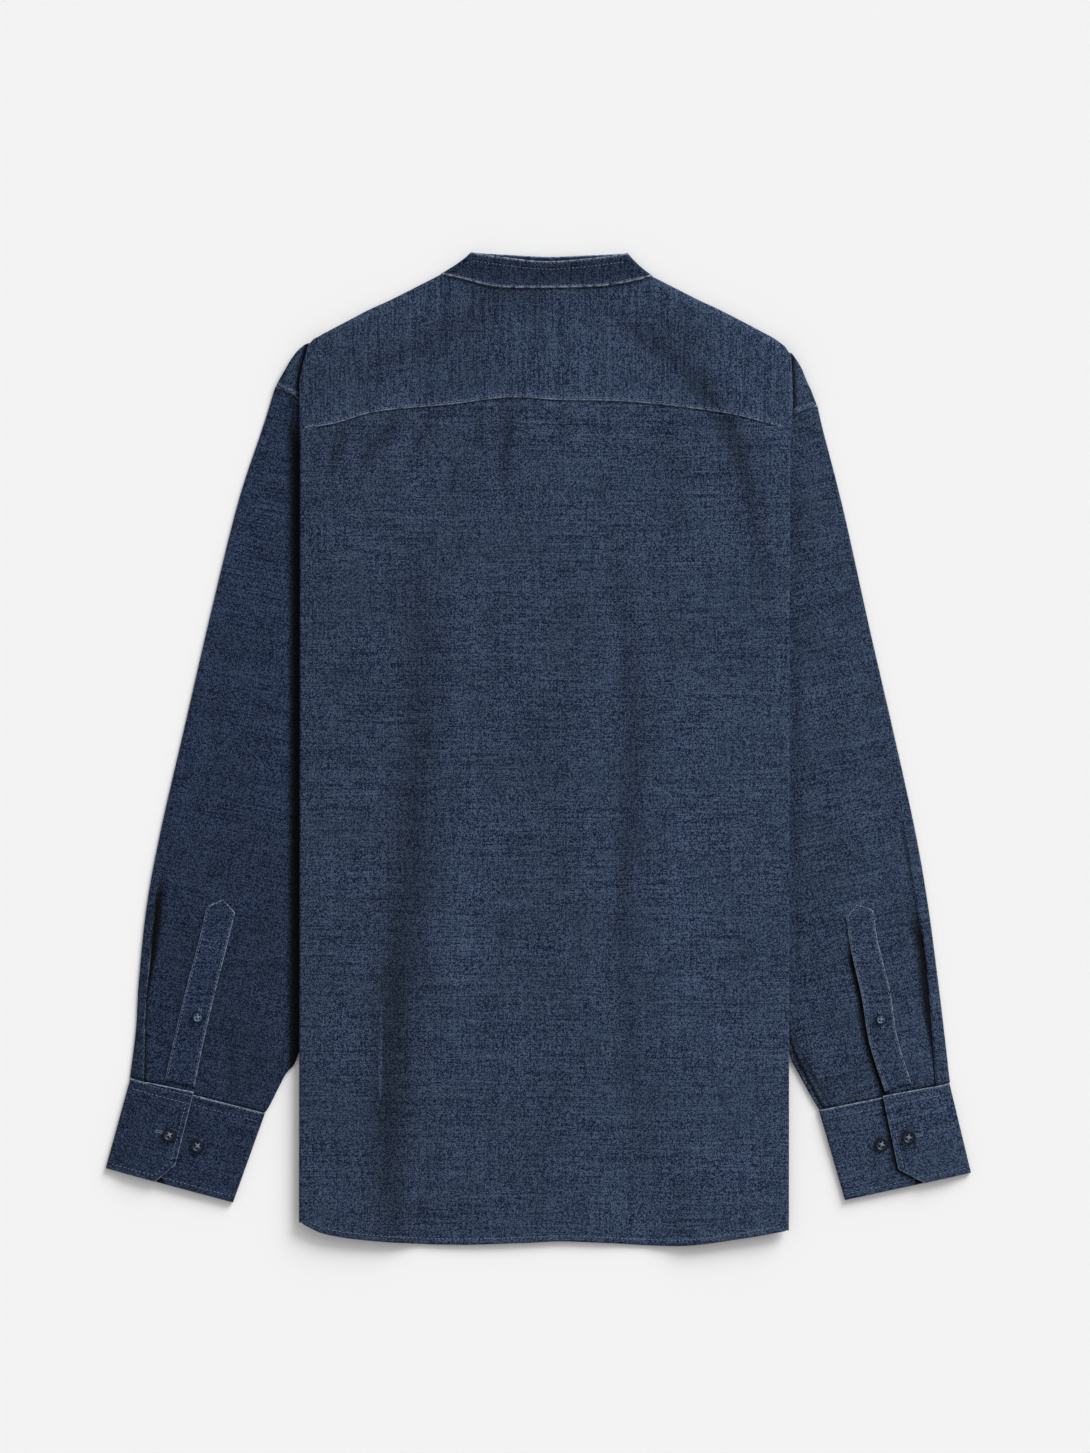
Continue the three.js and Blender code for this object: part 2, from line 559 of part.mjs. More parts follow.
function makeSleeve(side, name) {
  const across = [0.012, 0.04, 0.07, 0.1, 0.14, 0.2, 0.3, 0.42, 0.54, 0.66, 0.78, 0.9, 0.975];
  const under = [0.975, 0.88, 0.77, 0.66, 0.55, 0.45, 0.36, 0.28, 0.2, 0.13, 0.07, 0.012];
  const rows = [
    0, 0.04, 0.1, 0.17, 0.25, 0.34, 0.43, 0.52, 0.61, 0.69, 0.76, 0.82, 0.87, 0.91, 0.95, 0.98, 1,
  ];
  const grid = rows.map((v) => [
    sleevePoint(side, sleeveFold.outer, v, 0.5),
    ...across.map((u) => sleevePoint(side, u, v, 1)),
    sleevePoint(side, sleeveFold.inner, v, 0.5),
    ...under.map((u) => sleevePoint(side, u, v, 0)),
  ]);
  return wall(name, grid, cloth, indigo, true);
}

// The height of the sleeve's upper wall over a point of the surface.
function heightOnSleeve(side, x, y) {
  let u = 0.5;
  let v = 0.8;
  const step = 0.001;
  for (let i = 0; i < 12; i += 1) {
    const p = sleevePlan(side, u, v);
    const du = sleevePlan(side, u + step, v).sub(p).divideScalar(step);
    const dv = sleevePlan(side, u, v - step).sub(p).divideScalar(-step);
    const det = du.x * dv.y - dv.x * du.y;
    const ex = x - p.x;
    const ey = y - p.y;
    u = clamp01(u + (ex * dv.y - ey * dv.x) / det);
    v = THREE.MathUtils.clamp(v + (ey * du.x - ex * du.y) / det, 2 * step, 1);
  }
  return sleeveHeights(side, u, v).upper;
}

const seat = 0.15; // what lies on a sleeve or a cuff clears the slope of the cloth under it
const placketButtonThickness = 2;
const placketTip = { half: 0.6, shareHalfway: 0.52, sleeveEnd: 0.6 };

// The placket lies on the sleeve: a strip with a pointed upper end.
function makePlacket(side, name) {
  const { tip, line } = side.placket;
  const top = line[0];
  const shape = [
    { ...tip, half: placketTip.half },
    { x: lerp(tip.x, top.x, 0.5), y: lerp(tip.y, top.y, 0.5), half: top.half * placketTip.shareHalfway },
    ...steps(top.y, line.at(-1).y + placketTip.sleeveEnd, 9).map((y) => ({
      x: read([...line].reverse(), "y", "x", y),
      y,
      half: read([...line].reverse(), "y", "half", y),
    })),
  ];
  const grid = shape.map((row, i) => {
    const before = shape[Math.max(i - 1, 0)];
    const after = shape[Math.min(i + 1, shape.length - 1)];
    const down = new THREE.Vector2(after.x - before.x, after.y - before.y).normalize();
    return steps(-1, 1, 5).map((across) => {
      const x = row.x - down.y * across * row.half;
      const y = row.y + down.x * across * row.half;
      const z = heightOnSleeve(side, x, y) + layer + seat;
      return new THREE.Vector3(side.sign * x, y, z);
    });
  });
  return wall(name, grid, cloth, indigo);
}

// A cuff is a flattened ring whose outer end laps over its inner end, with a cut corner.
const cuffRoom = 0.9; // more room in a cuff than the gap between its two walls
const cuffLevels = { lower: twoPly / 2, upper: twoPly / 2 + twoPly + gap + cuffRoom };
const cuffUnderlap = 0.16;
const cuffCrownHeight = 0.8;
const lapRise = { before: 0.04, length: 0.14 }; // shares of the width over which the overlap rises
function cuffPlan(cuff, a, b) {
  const mix = (from, to, t) => ({ x: lerp(from.x, to.x, t), y: lerp(from.y, to.y, t) });
  return mix(mix(cuff.outerTop, cuff.innerTop, a), mix(cuff.outerBottom, cuff.innerBottom, a), b);
}
const cuffCrown = (a) => cuffCrownHeight * Math.sin(Math.PI * a);
const cuffLap = (cuff, a) => {
  const start = cuff.overlapEnd.bottom - cuffUnderlap - lapRise.before;
  return (twoPly + gap) * ease(start - lapRise.length, start, a);
};
function cuffEnd({ top, mitre, bottom, mitreAt }, b) {
  return b < mitreAt ? lerp(top, mitre, b / mitreAt) : lerp(mitre, bottom, (b - mitreAt) / (1 - mitreAt));
}

function makeCuff(side, name) {
  const { cuff } = side;
  const width = Math.hypot(cuff.innerTop.x - cuff.outerTop.x, cuff.innerTop.y - cuff.outerTop.y);
  const half = (cuffLevels.upper - cuffLevels.lower) / 2;
  const inset = (half + twoPly / 2) / width;
  const rows = [0, 0.2, 0.4, 0.6, cuff.overlapEnd.mitreAt, 0.9, 1];
  const grid = rows.map((row) => {
    const end = cuffEnd(cuff.overlapEnd, row);
    const ring = [];
    const put = (a, z) => {
      const { x, y } = cuffPlan(cuff, a, row);
      ring.push(new THREE.Vector3(side.sign * x, y - gap, z));
    };
    for (const a of steps(end, inset, 8)) put(a, cuffLevels.upper + cuffCrown(a) + cuffLap(cuff, a));
    const bulge = (turn) => (half * Math.cos(turn)) / width;
    const between = (cuffLevels.upper + cuffLevels.lower) / 2;
    for (const turn of fold.slice(1, -1)) put(inset - bulge(turn), between - half * Math.sin(turn));
    for (const a of steps(inset, 1 - inset, 6)) put(a, cuffLevels.lower);
    for (const turn of fold.slice(1, -1)) put(1 - inset + bulge(turn), between + half * Math.sin(turn));
    for (const a of steps(1 - inset, cuff.overlapEnd.bottom - cuffUnderlap, 7)) {
      put(a, cuffLevels.upper + cuffCrown(a));
    }
    return ring;
  });
  return wall(name, grid, twoPly, indigo);
}

// A four-hole button in its plain form: a disc with a raised rim.
const dish = 0.5;
const buttonSides = 14;
function makeButton(name, radius, thickness, x, y, z, faceDown = false) {
  const profile = [
    [0, 0], [radius * 0.8, 0], [radius, thickness * 0.4], [radius * 0.95, thickness],
    [radius * 0.78, thickness], [radius * 0.66, thickness - dish], [0, thickness - dish],
  ].map(([r, h]) => new THREE.Vector2(r, h));
  const mesh = new THREE.Mesh(new THREE.LatheGeometry(profile, buttonSides), buttonBlue);
  mesh.geometry.rotateX(Math.PI / 2);
  mesh.name = name;
  mesh.position.set(x, y, faceDown ? z + thickness : z);
  if (faceDown) mesh.rotation.x = Math.PI;
  return mesh;
}

const cuffButton = { radius: 5.9, thickness: 2.4, row: 0.6 };
function cuffButtonHeight({ outerTop, innerTop, outerBottom, innerBottom }, { x }, lapped) {
  const outerX = lerp(outerTop.x, outerBottom.x, cuffButton.row);
  const innerX = lerp(innerTop.x, innerBottom.x, cuffButton.row);
  const crown = cuffCrown((outerX - x) / (outerX - innerX));
  return cuffLevels.upper + crown + (lapped ? twoPly + gap : 0) + twoPly / 2 + gap + seat;
}

const shirt = new THREE.Group();
shirt.add(makeYoke());
shirt.add(makeBack());
shirt.add(makeFront(sides.left, "front_left", bandUnder));
shirt.add(makeFront(sides.right, "front_right", bandOver));
shirt.add(makeBand());
for (const [word, side] of Object.entries(sides)) {
  shirt.add(makeSleeve(side, `sleeve_${word}`));
  shirt.add(makePlacket(side, `placket_${word}`));
  shirt.add(makeCuff(side, `cuff_${word}`));
  side.cuff.buttons.forEach((place, i) => {
    const z = cuffButtonHeight(side.cuff, place, i === 0);
    const name = `cuff_button_${word}_${i + 1}`;
    shirt.add(makeButton(name, cuffButton.radius, cuffButton.thickness, side.sign * place.x, place.y, z));
  });
  const { x, y, radius } = side.placket.button;
  const z = heightOnSleeve(side, x, y) + layer + 2 * seat + cloth / 2 + gap;
  shirt.add(makeButton(`placket_button_${word}`, radius, placketButtonThickness, side.sign * x, y, z));
}
for (let i = 0; i < frontButton.count; i += 1) {
  const y = frontButton.first - i * frontButton.pitch;
  shirt.add(makeButton(`front_button_${i + 1}`, frontButton.radius, frontButton.thickness, 0, y, 0, true));
}
shirt.add(makeButton("neck_button", frontButton.radius, frontButton.thickness, 0, frontButton.neck, 0, true));

// The origin is at the middle of the whole outline, on the surface.
const box = new THREE.Box3().setFromObject(shirt);
const middle = box.getCenter(new THREE.Vector3());
shirt.position.set(-middle.x, -middle.y, -box.min.z);

export default shirt;
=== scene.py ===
import json
import math
import random

import bmesh
import bpy
import numpy as np
from mathutils import Matrix, Vector
from mathutils.bvhtree import BVHTree

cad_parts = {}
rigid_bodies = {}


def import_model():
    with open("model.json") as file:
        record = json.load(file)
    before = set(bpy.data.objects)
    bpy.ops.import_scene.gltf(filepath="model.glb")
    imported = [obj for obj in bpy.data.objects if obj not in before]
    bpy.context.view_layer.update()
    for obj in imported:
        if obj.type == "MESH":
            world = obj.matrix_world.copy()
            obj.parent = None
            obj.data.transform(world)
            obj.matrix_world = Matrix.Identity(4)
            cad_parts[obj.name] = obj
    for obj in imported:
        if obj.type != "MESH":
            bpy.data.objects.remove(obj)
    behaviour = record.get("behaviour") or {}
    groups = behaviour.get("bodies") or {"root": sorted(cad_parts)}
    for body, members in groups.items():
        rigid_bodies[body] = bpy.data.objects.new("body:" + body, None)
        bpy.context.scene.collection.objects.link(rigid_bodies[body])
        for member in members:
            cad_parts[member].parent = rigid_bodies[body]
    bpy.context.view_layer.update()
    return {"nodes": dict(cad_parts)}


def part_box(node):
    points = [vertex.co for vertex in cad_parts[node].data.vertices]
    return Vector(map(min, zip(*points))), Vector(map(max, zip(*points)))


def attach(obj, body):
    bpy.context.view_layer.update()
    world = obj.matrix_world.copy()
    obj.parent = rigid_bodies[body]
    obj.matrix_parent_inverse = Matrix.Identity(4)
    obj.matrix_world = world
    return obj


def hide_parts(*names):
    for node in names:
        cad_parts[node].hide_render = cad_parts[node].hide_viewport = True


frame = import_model()
print("frame loaded:", len(frame["nodes"]), "nodes")

# Every size below is in millimetres: x outwards from the centre of the back, y up from the lowest
# point of the hem, z up from the surface. The neck button gives the place of that frame.
neckButtonY = 776
buttonLow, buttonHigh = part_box("neck_button")
origin = {
    "x": (buttonLow.x + buttonHigh.x) / 2,
    "y": (buttonLow.y + buttonHigh.y) / 2 - 0.001 * neckButtonY,
}

cloth = {"wall": 1.0, "twoPly": 1.4, "gap": 0.3, "shown": 0.75, "shownTwoPly": 1.15}
layer = cloth["wall"] + cloth["gap"]
far = 40  # a distance in millimetres at which no edge counts any more
stack = {
    "front": 0.5,
    "frontTurned": 0.5 + layer,
    "frontTucked": 0.5 + 2 * layer,
    "backTucked": 0.5 + 3 * layer,
    "backTurned": 0.5 + 4 * layer,
    "backTop": 8.4,
}


def lerp(a, b, t):
    return a + (b - a) * t


def ease(low, high, value):
    t = np.clip((value - low) / (high - low), 0, 1)
    return t * t * (3 - 2 * t)


def near(reach, distance):  # 1 at no distance, down to 0 at the given reach
    return 1 - ease(0, reach, distance)


# A smooth curve through rows of (at, value), level beyond its ends.
def through(*rows):
    at, value = np.array(rows, float).T
    places = np.arange(len(at))
    before = np.maximum(places - 1, 0)
    after = np.minimum(places + 1, len(at) - 1)
    slope = (value[after] - value[before]) / (at[after] - at[before])

    def curve(x):
        x = np.clip(x, at[0], at[-1])
        i = np.clip(np.searchsorted(at, x, side="right") - 1, 0, len(at) - 2)
        span = at[i + 1] - at[i]
        t = (x - at[i]) / span
        rise = t * (1 - t) ** 2 * span * slope[i]
        fall = t * t * (1 - t) * span * slope[i + 1]
        return lerp(value[i], value[i + 1], t * t * (3 - 2 * t)) + rise - fall

    return curve


# A smooth route through points, read by the share of its length.
def route(points):
    points = np.array(points, float)
    padded = np.vstack([points[:1], points, points[-1:]])
    t = np.linspace(0, 1, 24, endpoint=False)[:, None]
    pieces = []
    for i in range(len(points) - 1):
        a, b, c, d = padded[i : i + 4]
        begin = (c - a) / 2
        end = (d - b) / 2
        cubic = (2 * b - 2 * c + begin + end) * t**3 + (3 * c - 3 * b - 2 * begin - end) * t**2
        pieces.append(cubic + begin * t + b)
    dense = np.vstack([*pieces, points[-1:]])
    length = np.concatenate([[0], np.cumsum(np.hypot(*np.diff(dense, axis=0).T))])

    def at(share):
        s = np.asarray(share) * length[-1]
        return np.stack([np.interp(s, length, dense[:, 0]), np.interp(s, length, dense[:, 1])], -1)

    return at


# How deep a soft crease presses at a point: along its line, fading at both ends.
# A crease: half its width, its depth and the painted shade in its trough (a painted highlight where negative),
# along a line of points.
def fold(half, depth, dark, *line):
    return {"half": half, "depth": depth, "dark": dark, "line": list(line)}


def press(crease, x, y, dark=False):
    rows = route(crease["line"])(np.linspace(0, 1, 28))
    nearest = np.full(np.shape(x), 1e9)
    along = np.zeros(np.shape(x))
    for i, ((ax, ay), (bx, by)) in enumerate(zip(rows, rows[1:])):
        dx = bx - ax
        dy = by - ay
        t = np.clip(((x - ax) * dx + (y - ay) * dy) / (dx * dx + dy * dy), 0, 1)
        distance = np.hypot(x - ax - t * dx, y - ay - t * dy)
        along = np.where(distance < nearest, (i + t) / (len(rows) - 1), along)
        nearest = np.minimum(nearest, distance)
    fade = np.sin(math.pi * np.clip(0.04 + 0.92 * along, 0, 1)) ** 0.7
    trough = np.exp(-((nearest / crease["half"]) ** 2))
    # With dark, the crease's painted shade instead of its depth.
    if dark:
        return crease["dark"] * fade * trough
    shoulder = np.exp(-((nearest / crease["half"] / 1.9) ** 2))
    return crease["depth"] * fade * (1.35 * trough - 0.35 * shoulder)


# Gentle unevenness of laid cloth: a few seeded waves, each about the given size across.
def ripple(x, y, seed, size, height):
    chance = random.Random(seed)
    total = np.zeros(np.shape(x))
    for _ in range(9):
        turn = chance.uniform(0, math.tau)
        across = size * chance.uniform(0.7, 1.7)
        start = chance.uniform(0, math.tau)
        total += np.sin((x * math.cos(turn) + y * math.sin(turn)) * math.tau / across + start)
    return height * total / 3


hem = through(
    (-196, 19.2), (-176, 10), (-135, 4), (-76, 0.8), (-12, 2.4),
    (12, 3.5), (44, 2.4), (108, 0), (160, 6.4), (196, 12.8),
)
yokeSeam = through(
    (-196, 653.4), (-167, 658.4), (-142, 666), (-120, 669.6), (-75, 673.6), (-28, 679.2),
    (12, 677.2), (66, 676), (118, 670.4), (154, 664.8), (196, 653.2),
)
neckSeam = through(
    (-82.8, 777.2), (-68, 774.6), (-41, 768), (-20, 766.8), (12, 767), (44, 768), (62, 770.6), (86, 775.6),
)
frontNeck = through((-82.8, 777.2), (-50, 767), (0, 760), (50, 766), (86, 775.6))
bandBackTop = through((-57.2, 794.4), (-31.6, 790.8), (0, 787.6), (36.4, 790), (64.4, 793.6))
bandFrontTop = through((-58.8, 795.2), (-27.6, 793), (4.4, 791.2), (36.4, 792.8), (66, 794.4))

sides = {
    "left": {
        "sign": -1,
        "shoulder": (189.2, 722),
        "neckX": 82.8,
        "shoulderEdge": through(
            (82.8, 777.2), (122.8, 756.8), (140.4, 748.8), (155.6, 740.8), (170.8, 732.8), (185.2, 724.8),
            (196.4, 716.8), (202.8, 708.8), (207.6, 700.8), (212.4, 692.8), (214.8, 688),
        ),
        "crease": through((0, 196.4), (640, 195.6), (686, 196.4), (699, 194.8), (720.8, 189.2)),
        "tuck": through((0, 130), (500, 130), (570, 138), (620, 152), (653, 167), (716, 181)),
        "armhole": through(
            (0, 136), (500, 136), (530, 138), (570, 146), (621, 162), (653, 178),
            (677.6, 196.4), (688, 214.8),
        ),
        "armholeTop": (214.8, 688),
        "armholeLow": (196.4, 677.6),
        "outer": [
            (214.8, 688), (226, 652.8), (239.6, 612.8), (250.8, 572.8), (270, 492.8), (288.4, 412.8),
            (306.8, 332.8), (318, 272.8), (324.4, 212.8), (326.8, 172.8), (331.6, 134.4),
        ],
        "inner": [
            (139, 500), (165, 330), (190, 185), (198, 148.8), (206.8, 136.8), (219.6, 112), (223.6, 106.4),
        ],
    },
    "right": {
        "sign": 1,
        "shoulder": (197.2, 714.4),
        "neckX": 86,
        "shoulderEdge": through(
            (86, 775.6), (122.8, 756.8), (140, 748.8), (155.6, 740.8), (170.8, 732.8), (185.2, 724.8),
            (194.8, 716.8), (201.2, 708.8), (206, 700.8), (209.2, 692.8), (213.2, 684.8), (218, 672.8),
        ),
        "crease": through((0, 195.6), (613, 196.4), (649, 197.2), (677, 198.8), (714.4, 197.2)),
        "tuck": through((0, 112), (490, 112), (570, 124), (620, 142), (653, 163), (708, 187)),
        "armhole": through(
            (0, 118), (490, 118), (520, 121), (570, 132), (615, 154), (645, 178),
            (664.8, 199.6), (672.8, 218),
        ),
        "armholeTop": (218, 672.8),
        "armholeLow": (199.6, 664.8),
        "outer": [
            (218, 672.8), (222.8, 652.8), (233.2, 612.8), (242.8, 572.8), (260.4, 492.8), (278.8, 412.8),
            (296.4, 332.8), (306.8, 272.8), (314.8, 212.8), (319.6, 172.8), (324.4, 130.4),
        ],
        "inner": [
            (121, 490), (155, 330), (187, 190), (196.8, 150.4), (200, 143), (214, 117.6), (219.6, 108.8),
        ],
    },
}


def meshOf(name, bm):
    mesh = bpy.data.meshes.new(name)
    bm.to_mesh(mesh)
    bm.free()
    return mesh


def addObject(name, data):
    item = bpy.data.objects.new(name, data)
    bpy.context.collection.objects.link(item)
    return item


# Materials. newNode adds one node: a socket given for an input is linked to it, a value is set.
def newNode(tree, kind, values=None, **inputs):
    node = tree.nodes.new(kind)
    for name, value in (values or {}).items():
        setattr(node, name, value)
    for name, value in inputs.items():
        key = int(name[5:]) if name.startswith("input") else name.replace("_", " ")
        if isinstance(value, bpy.types.NodeSocket):
            tree.links.new(value, node.inputs[key])
        else:
            node.inputs[key].default_value = value
    return node


def math2(tree, operation, a, b=0.0, c=0.0):
    node = newNode(tree, "ShaderNodeMath", {"operation": operation}, input0=a, input1=b, input2=c)
    return node.outputs[0]


def mixed(tree, share, first, second, blend="MIX"):
    kind = {"data_type": "RGBA", "blend_type": blend}
    return newNode(tree, "ShaderNodeMix", kind, input0=share, input6=first, input7=second).outputs[2]


def ranged(tree, value, fromLow, fromHigh, toLow=0.0, toHigh=1.0, smooth=False):
    return newNode(
        tree, "ShaderNodeMapRange", {"interpolation_type": "SMOOTHSTEP" if smooth else "LINEAR"},
        input0=value, input1=fromLow, input2=fromHigh, input3=toLow, input4=toHigh,
    ).outputs[0]


def newMaterial(name):
    material = bpy.data.materials.new(name)
    material.use_nodes = True
    return material, material.node_tree, material.node_tree.nodes["Principled BSDF"]


def newGroup(name, inputs, outputs):
    group = bpy.data.node_groups.new(name, "ShaderNodeTree")
    for label, kind, value in inputs:
        socket = group.interface.new_socket(name=label, in_out="INPUT", socket_type=kind)
        if value is not None:
            socket.default_value = value
    for label, kind in outputs:
        group.interface.new_socket(name=label, in_out="OUTPUT", socket_type=kind)
    return group, group.nodes.new("NodeGroupInput").outputs, group.nodes.new("NodeGroupOutput").inputs


def stretched(tree, vector, across, along):
    across = math2(tree, "DIVIDE", 1.0, across)
    along = math2(tree, "DIVIDE", 1.0, along)
    parts = newNode(tree, "ShaderNodeSeparateXYZ", input0=vector)
    x = math2(tree, "MULTIPLY", parts.outputs[0], across)
    y = math2(tree, "MULTIPLY", parts.outputs[1], along)
    return newNode(tree, "ShaderNodeCombineXYZ", input0=x, input1=y).outputs[0]


def noise(tree, vector, detail=1.0, rough=0.5, shift=0.0):
    node = newNode(
        tree, "ShaderNodeTexNoise", {"noise_dimensions": "3D"},
        Scale=1.0, Detail=detail, Roughness=rough,
    )
    if shift:
        vector = newNode(
            tree, "ShaderNodeVectorMath", {"operation": "ADD"},
            input0=vector, input1=(shift, 2 * shift, shift),
        ).outputs[0]
    tree.links.new(vector, node.inputs["Vector"])
    return node.outputs[0]


def evenCells(tree, across, along, shift):  # one value for each whole step both ways
    across = math2(tree, "ADD", math2(tree, "FLOOR", across), shift)
    along = math2(tree, "FLOOR", along)
    place = newNode(tree, "ShaderNodeCombineXYZ", input0=across, input1=along).outputs[0]
    cell = newNode(tree, "ShaderNodeTexWhiteNoise", {"noise_dimensions": "2D"}, Vector=place)
    return cell.outputs["Value"]


# Yarns that run one way, each cut into slubs of its own, short and long ones together.
def yarns(tree, across, along, slub, shift):
    begin = evenCells(tree, across, 0.0, shift)
    begin = math2(tree, "MULTIPLY", begin, 9.0)
    short = math2(tree, "ADD", math2(tree, "DIVIDE", along, slub), begin)
    long = math2(tree, "ADD", math2(tree, "MULTIPLY", short, 0.3), begin)
    short = evenCells(tree, across, short, shift + 31)
    long = evenCells(tree, across, long, shift + 67)
    tone = math2(tree, "ADD", short, long)
    return math2(tree, "SUBTRACT", math2(tree, "MULTIPLY", tone, 0.5), 0.5)


# Slubby yarns both ways, specks where they cross, and slow patches of dye.
def buildWeave():
    group, given, out = newGroup(
        "slubWeave",
        [
            ("Grain", "NodeSocketVector", None),
            ("Warp", "NodeSocketFloat", 1.0),
            ("Weft", "NodeSocketFloat", 1.0),
            ("Yarn", "NodeSocketFloat", 0.00068),
            ("Slub", "NodeSocketFloat", 22.0),
            ("Speck", "NodeSocketFloat", 1.0),
            ("Patch", "NodeSocketFloat", 0.045),
        ],
        [("Tone", "NodeSocketFloat"), ("Patches", "NodeSocketFloat"), ("Height", "NodeSocketFloat")],
    )
    grain = given["Grain"]
    counted = newNode(
        group, "ShaderNodeSeparateXYZ", input0=stretched(group, grain, given["Yarn"], given["Yarn"]),
    ).outputs
    sway = noise(group, stretched(group, grain, 0.03, 0.05), 2.0, 0.6, 3.0)
    lean = noise(group, stretched(group, grain, 0.05, 0.03), 2.0, 0.6, 23.0)
    x = math2(group, "MULTIPLY_ADD", sway, 1.6, counted[0])
    y = math2(group, "MULTIPLY_ADD", lean, 1.6, counted[1])
    warp = yarns(group, x, y, given["Slub"], 11)
    weft = yarns(group, y, x, given["Slub"], 503)
    speck = math2(group, "SUBTRACT", evenCells(group, x, y, 907), 0.5)
    patches = noise(group, stretched(group, grain, given["Patch"], given["Patch"]), 3.0, 0.6, 41.0)
    weftPlaces = noise(group, stretched(group, grain, given["Patch"], given["Patch"]), 1.0, 0.5, 57.0)
    weftShare = ranged(group, weftPlaces, 0.35, 0.65, 0.6, 1.3)
    weftPart = math2(group, "MULTIPLY", math2(group, "MULTIPLY", weft, given["Weft"]), weftShare)
    total = math2(group, "MULTIPLY_ADD", warp, given["Warp"], weftPart)
    total = math2(group, "MULTIPLY_ADD", speck, given["Speck"], total)
    tone = math2(group, "ADD", total, 0.5)
    over = math2(group, "SINE", math2(group, "MULTIPLY", x, math.pi))
    under = math2(group, "SINE", math2(group, "MULTIPLY", y, math.pi))
    relief = math2(group, "MULTIPLY", over, under)
    group.links.new(tone, out["Tone"])
    group.links.new(patches, out["Patches"])
    group.links.new(math2(group, "MULTIPLY_ADD", relief, 0.3, tone), out["Height"])
    return group


# Pale, uneven wear along folded and stitched edges, also the painted highlight along the back's lit right
# crease. Edge is the distance to the edge in metres.
def buildWearAndHighlight():
    group, given, out = newGroup(
        "edgeWearAndHighlight",
        [
            ("Edge", "NodeSocketFloat", 1.0),
            ("Grain", "NodeSocketVector", None),
            ("Reach", "NodeSocketFloat", 0.001),
            ("Gaps", "NodeSocketFloat", 0.5),
        ],
        [("WornAndLit", "NodeSocketFloat")],
    )
    closeness = ranged(group, given["Edge"], given["Reach"], 0.0, smooth=True)
    uneven = noise(group, stretched(group, given["Grain"], 0.004, 0.004), 3.0, 0.7, 5.0)
    kept = ranged(group, uneven, given["Gaps"], 0.62)
    group.links.new(math2(group, "MULTIPLY", closeness, kept), out["WornAndLit"])
    return group


weaveGroup = buildWeave()
wearAndHighlightGroup = buildWearAndHighlight()

shirting = {
    "deep": (0.0028, 0.0067, 0.0225, 1),
    "navy": (0.0158, 0.0284, 0.0650, 1),
    "pale": (0.0690, 0.0995, 0.1640, 1),
    "worn": (0.27, 0.33, 0.43, 1),
    "warm": (0.022, 0.041, 0.063, 1),
    "faded": (0.965, 1.035),
}


def tinted(colour, tint):
    return (*(part * share for part, share in zip(colour, tint)), 1)


def makeShirting(name, warp, weft, speck, shade=(1, 1), wornReach=0.0012, tint=(1, 1, 1)):
    material, tree, shader = newMaterial(name)
    grain = newNode(tree, "ShaderNodeUVMap", {"uv_map": "grain"}).outputs[0]
    weave = newNode(
        tree, "ShaderNodeGroup", {"node_tree": weaveGroup}, Grain=grain, Warp=warp, Weft=weft, Speck=speck,
    )
    ramp = newNode(tree, "ShaderNodeValToRGB", input0=weave.outputs["Tone"])
    stops = ramp.color_ramp.elements
    stops.new(0.5).color = tinted(shirting["navy"], tint)
    stops[0].color = tinted(shirting["deep"], tint)
    stops[-1].color = tinted(shirting["pale"], tint)
    patchShare = ranged(tree, weave.outputs["Patches"], 0.38, 0.66, 0.0, 0.22)
    dyed = mixed(tree, patchShare, ramp.outputs[0], shirting["warm"])
    # Painted shade and light: the colour runs from shade[0] at the piece's left to shade[1] at its right,
    # darker away from the light, and paintedShading scales it further.
    place = newNode(tree, "ShaderNodeTexCoord").outputs["Object"]
    across = newNode(tree, "ShaderNodeSeparateXYZ", input0=place).outputs[0]
    level = ranged(tree, across, -0.2, 0.2, *shade)
    clouds = noise(tree, stretched(tree, grain, 0.03, 0.11), 2.0, 0.5, 71.0)
    cloudy = ranged(tree, clouds, 0.3, 0.7, *shirting["faded"])
    paintedShading = newNode(tree, "ShaderNodeAttribute", {"attribute_name": "paintedShading"}).outputs["Fac"]
    level = math2(tree, "MULTIPLY", math2(tree, "MULTIPLY", level, cloudy), paintedShading)
    shaded = mixed(tree, 1.0, dyed, level, "MULTIPLY")
    edge = newNode(tree, "ShaderNodeAttribute", {"attribute_name": "edge"}).outputs["Fac"]
    wearAndHighlightMask = newNode(
        tree, "ShaderNodeGroup", {"node_tree": wearAndHighlightGroup},
        Edge=edge, Grain=grain, Reach=wornReach, Gaps=0.36,
    ).outputs[0]
    worn = mixed(tree, wearAndHighlightMask, shaded, shirting["worn"])
    bump = newNode(tree, "ShaderNodeBump", Strength=0.35, Distance=0.0002, Height=weave.outputs["Height"])
    tree.links.new(worn, shader.inputs["Base Color"])
    tree.links.new(bump.outputs[0], shader.inputs["Normal"])
    shader.inputs["Roughness"].default_value = 0.92
    shader.inputs["Specular IOR Level"].default_value = 0.12
    shader.inputs["Sheen Weight"].default_value = 0.02
    shader.inputs["Sheen Roughness"].default_value = 0.5
    return material


# shade and tint paint each piece's light: the left sleeve and the band are shaded copies, darker and bluer,
# and the right sleeve is a lit copy.
shirtingMaterials = {
    "body": makeShirting("bodyShirting", 0.45, 0.8, 1.55, (0.86, 1.03)),
    "yoke": makeShirting("yokeShirting", 0.85, 0.28, 1.4, (0.9, 1.12), 0.0015),
    "band": makeShirting("bandShirting", 0.85, 0.2, 1.4, (0.52, 0.58), 0.0013, (0.97, 1.02, 1.12)),
    "left": makeShirting("leftSleeveShirting", 0.45, 0.9, 1.75, (0.63, 0.63), tint=(0.96, 1.03, 1.17)),
    "right": makeShirting("rightSleeveShirting", 0.45, 0.8, 1.55, (0.93, 0.93)),
}


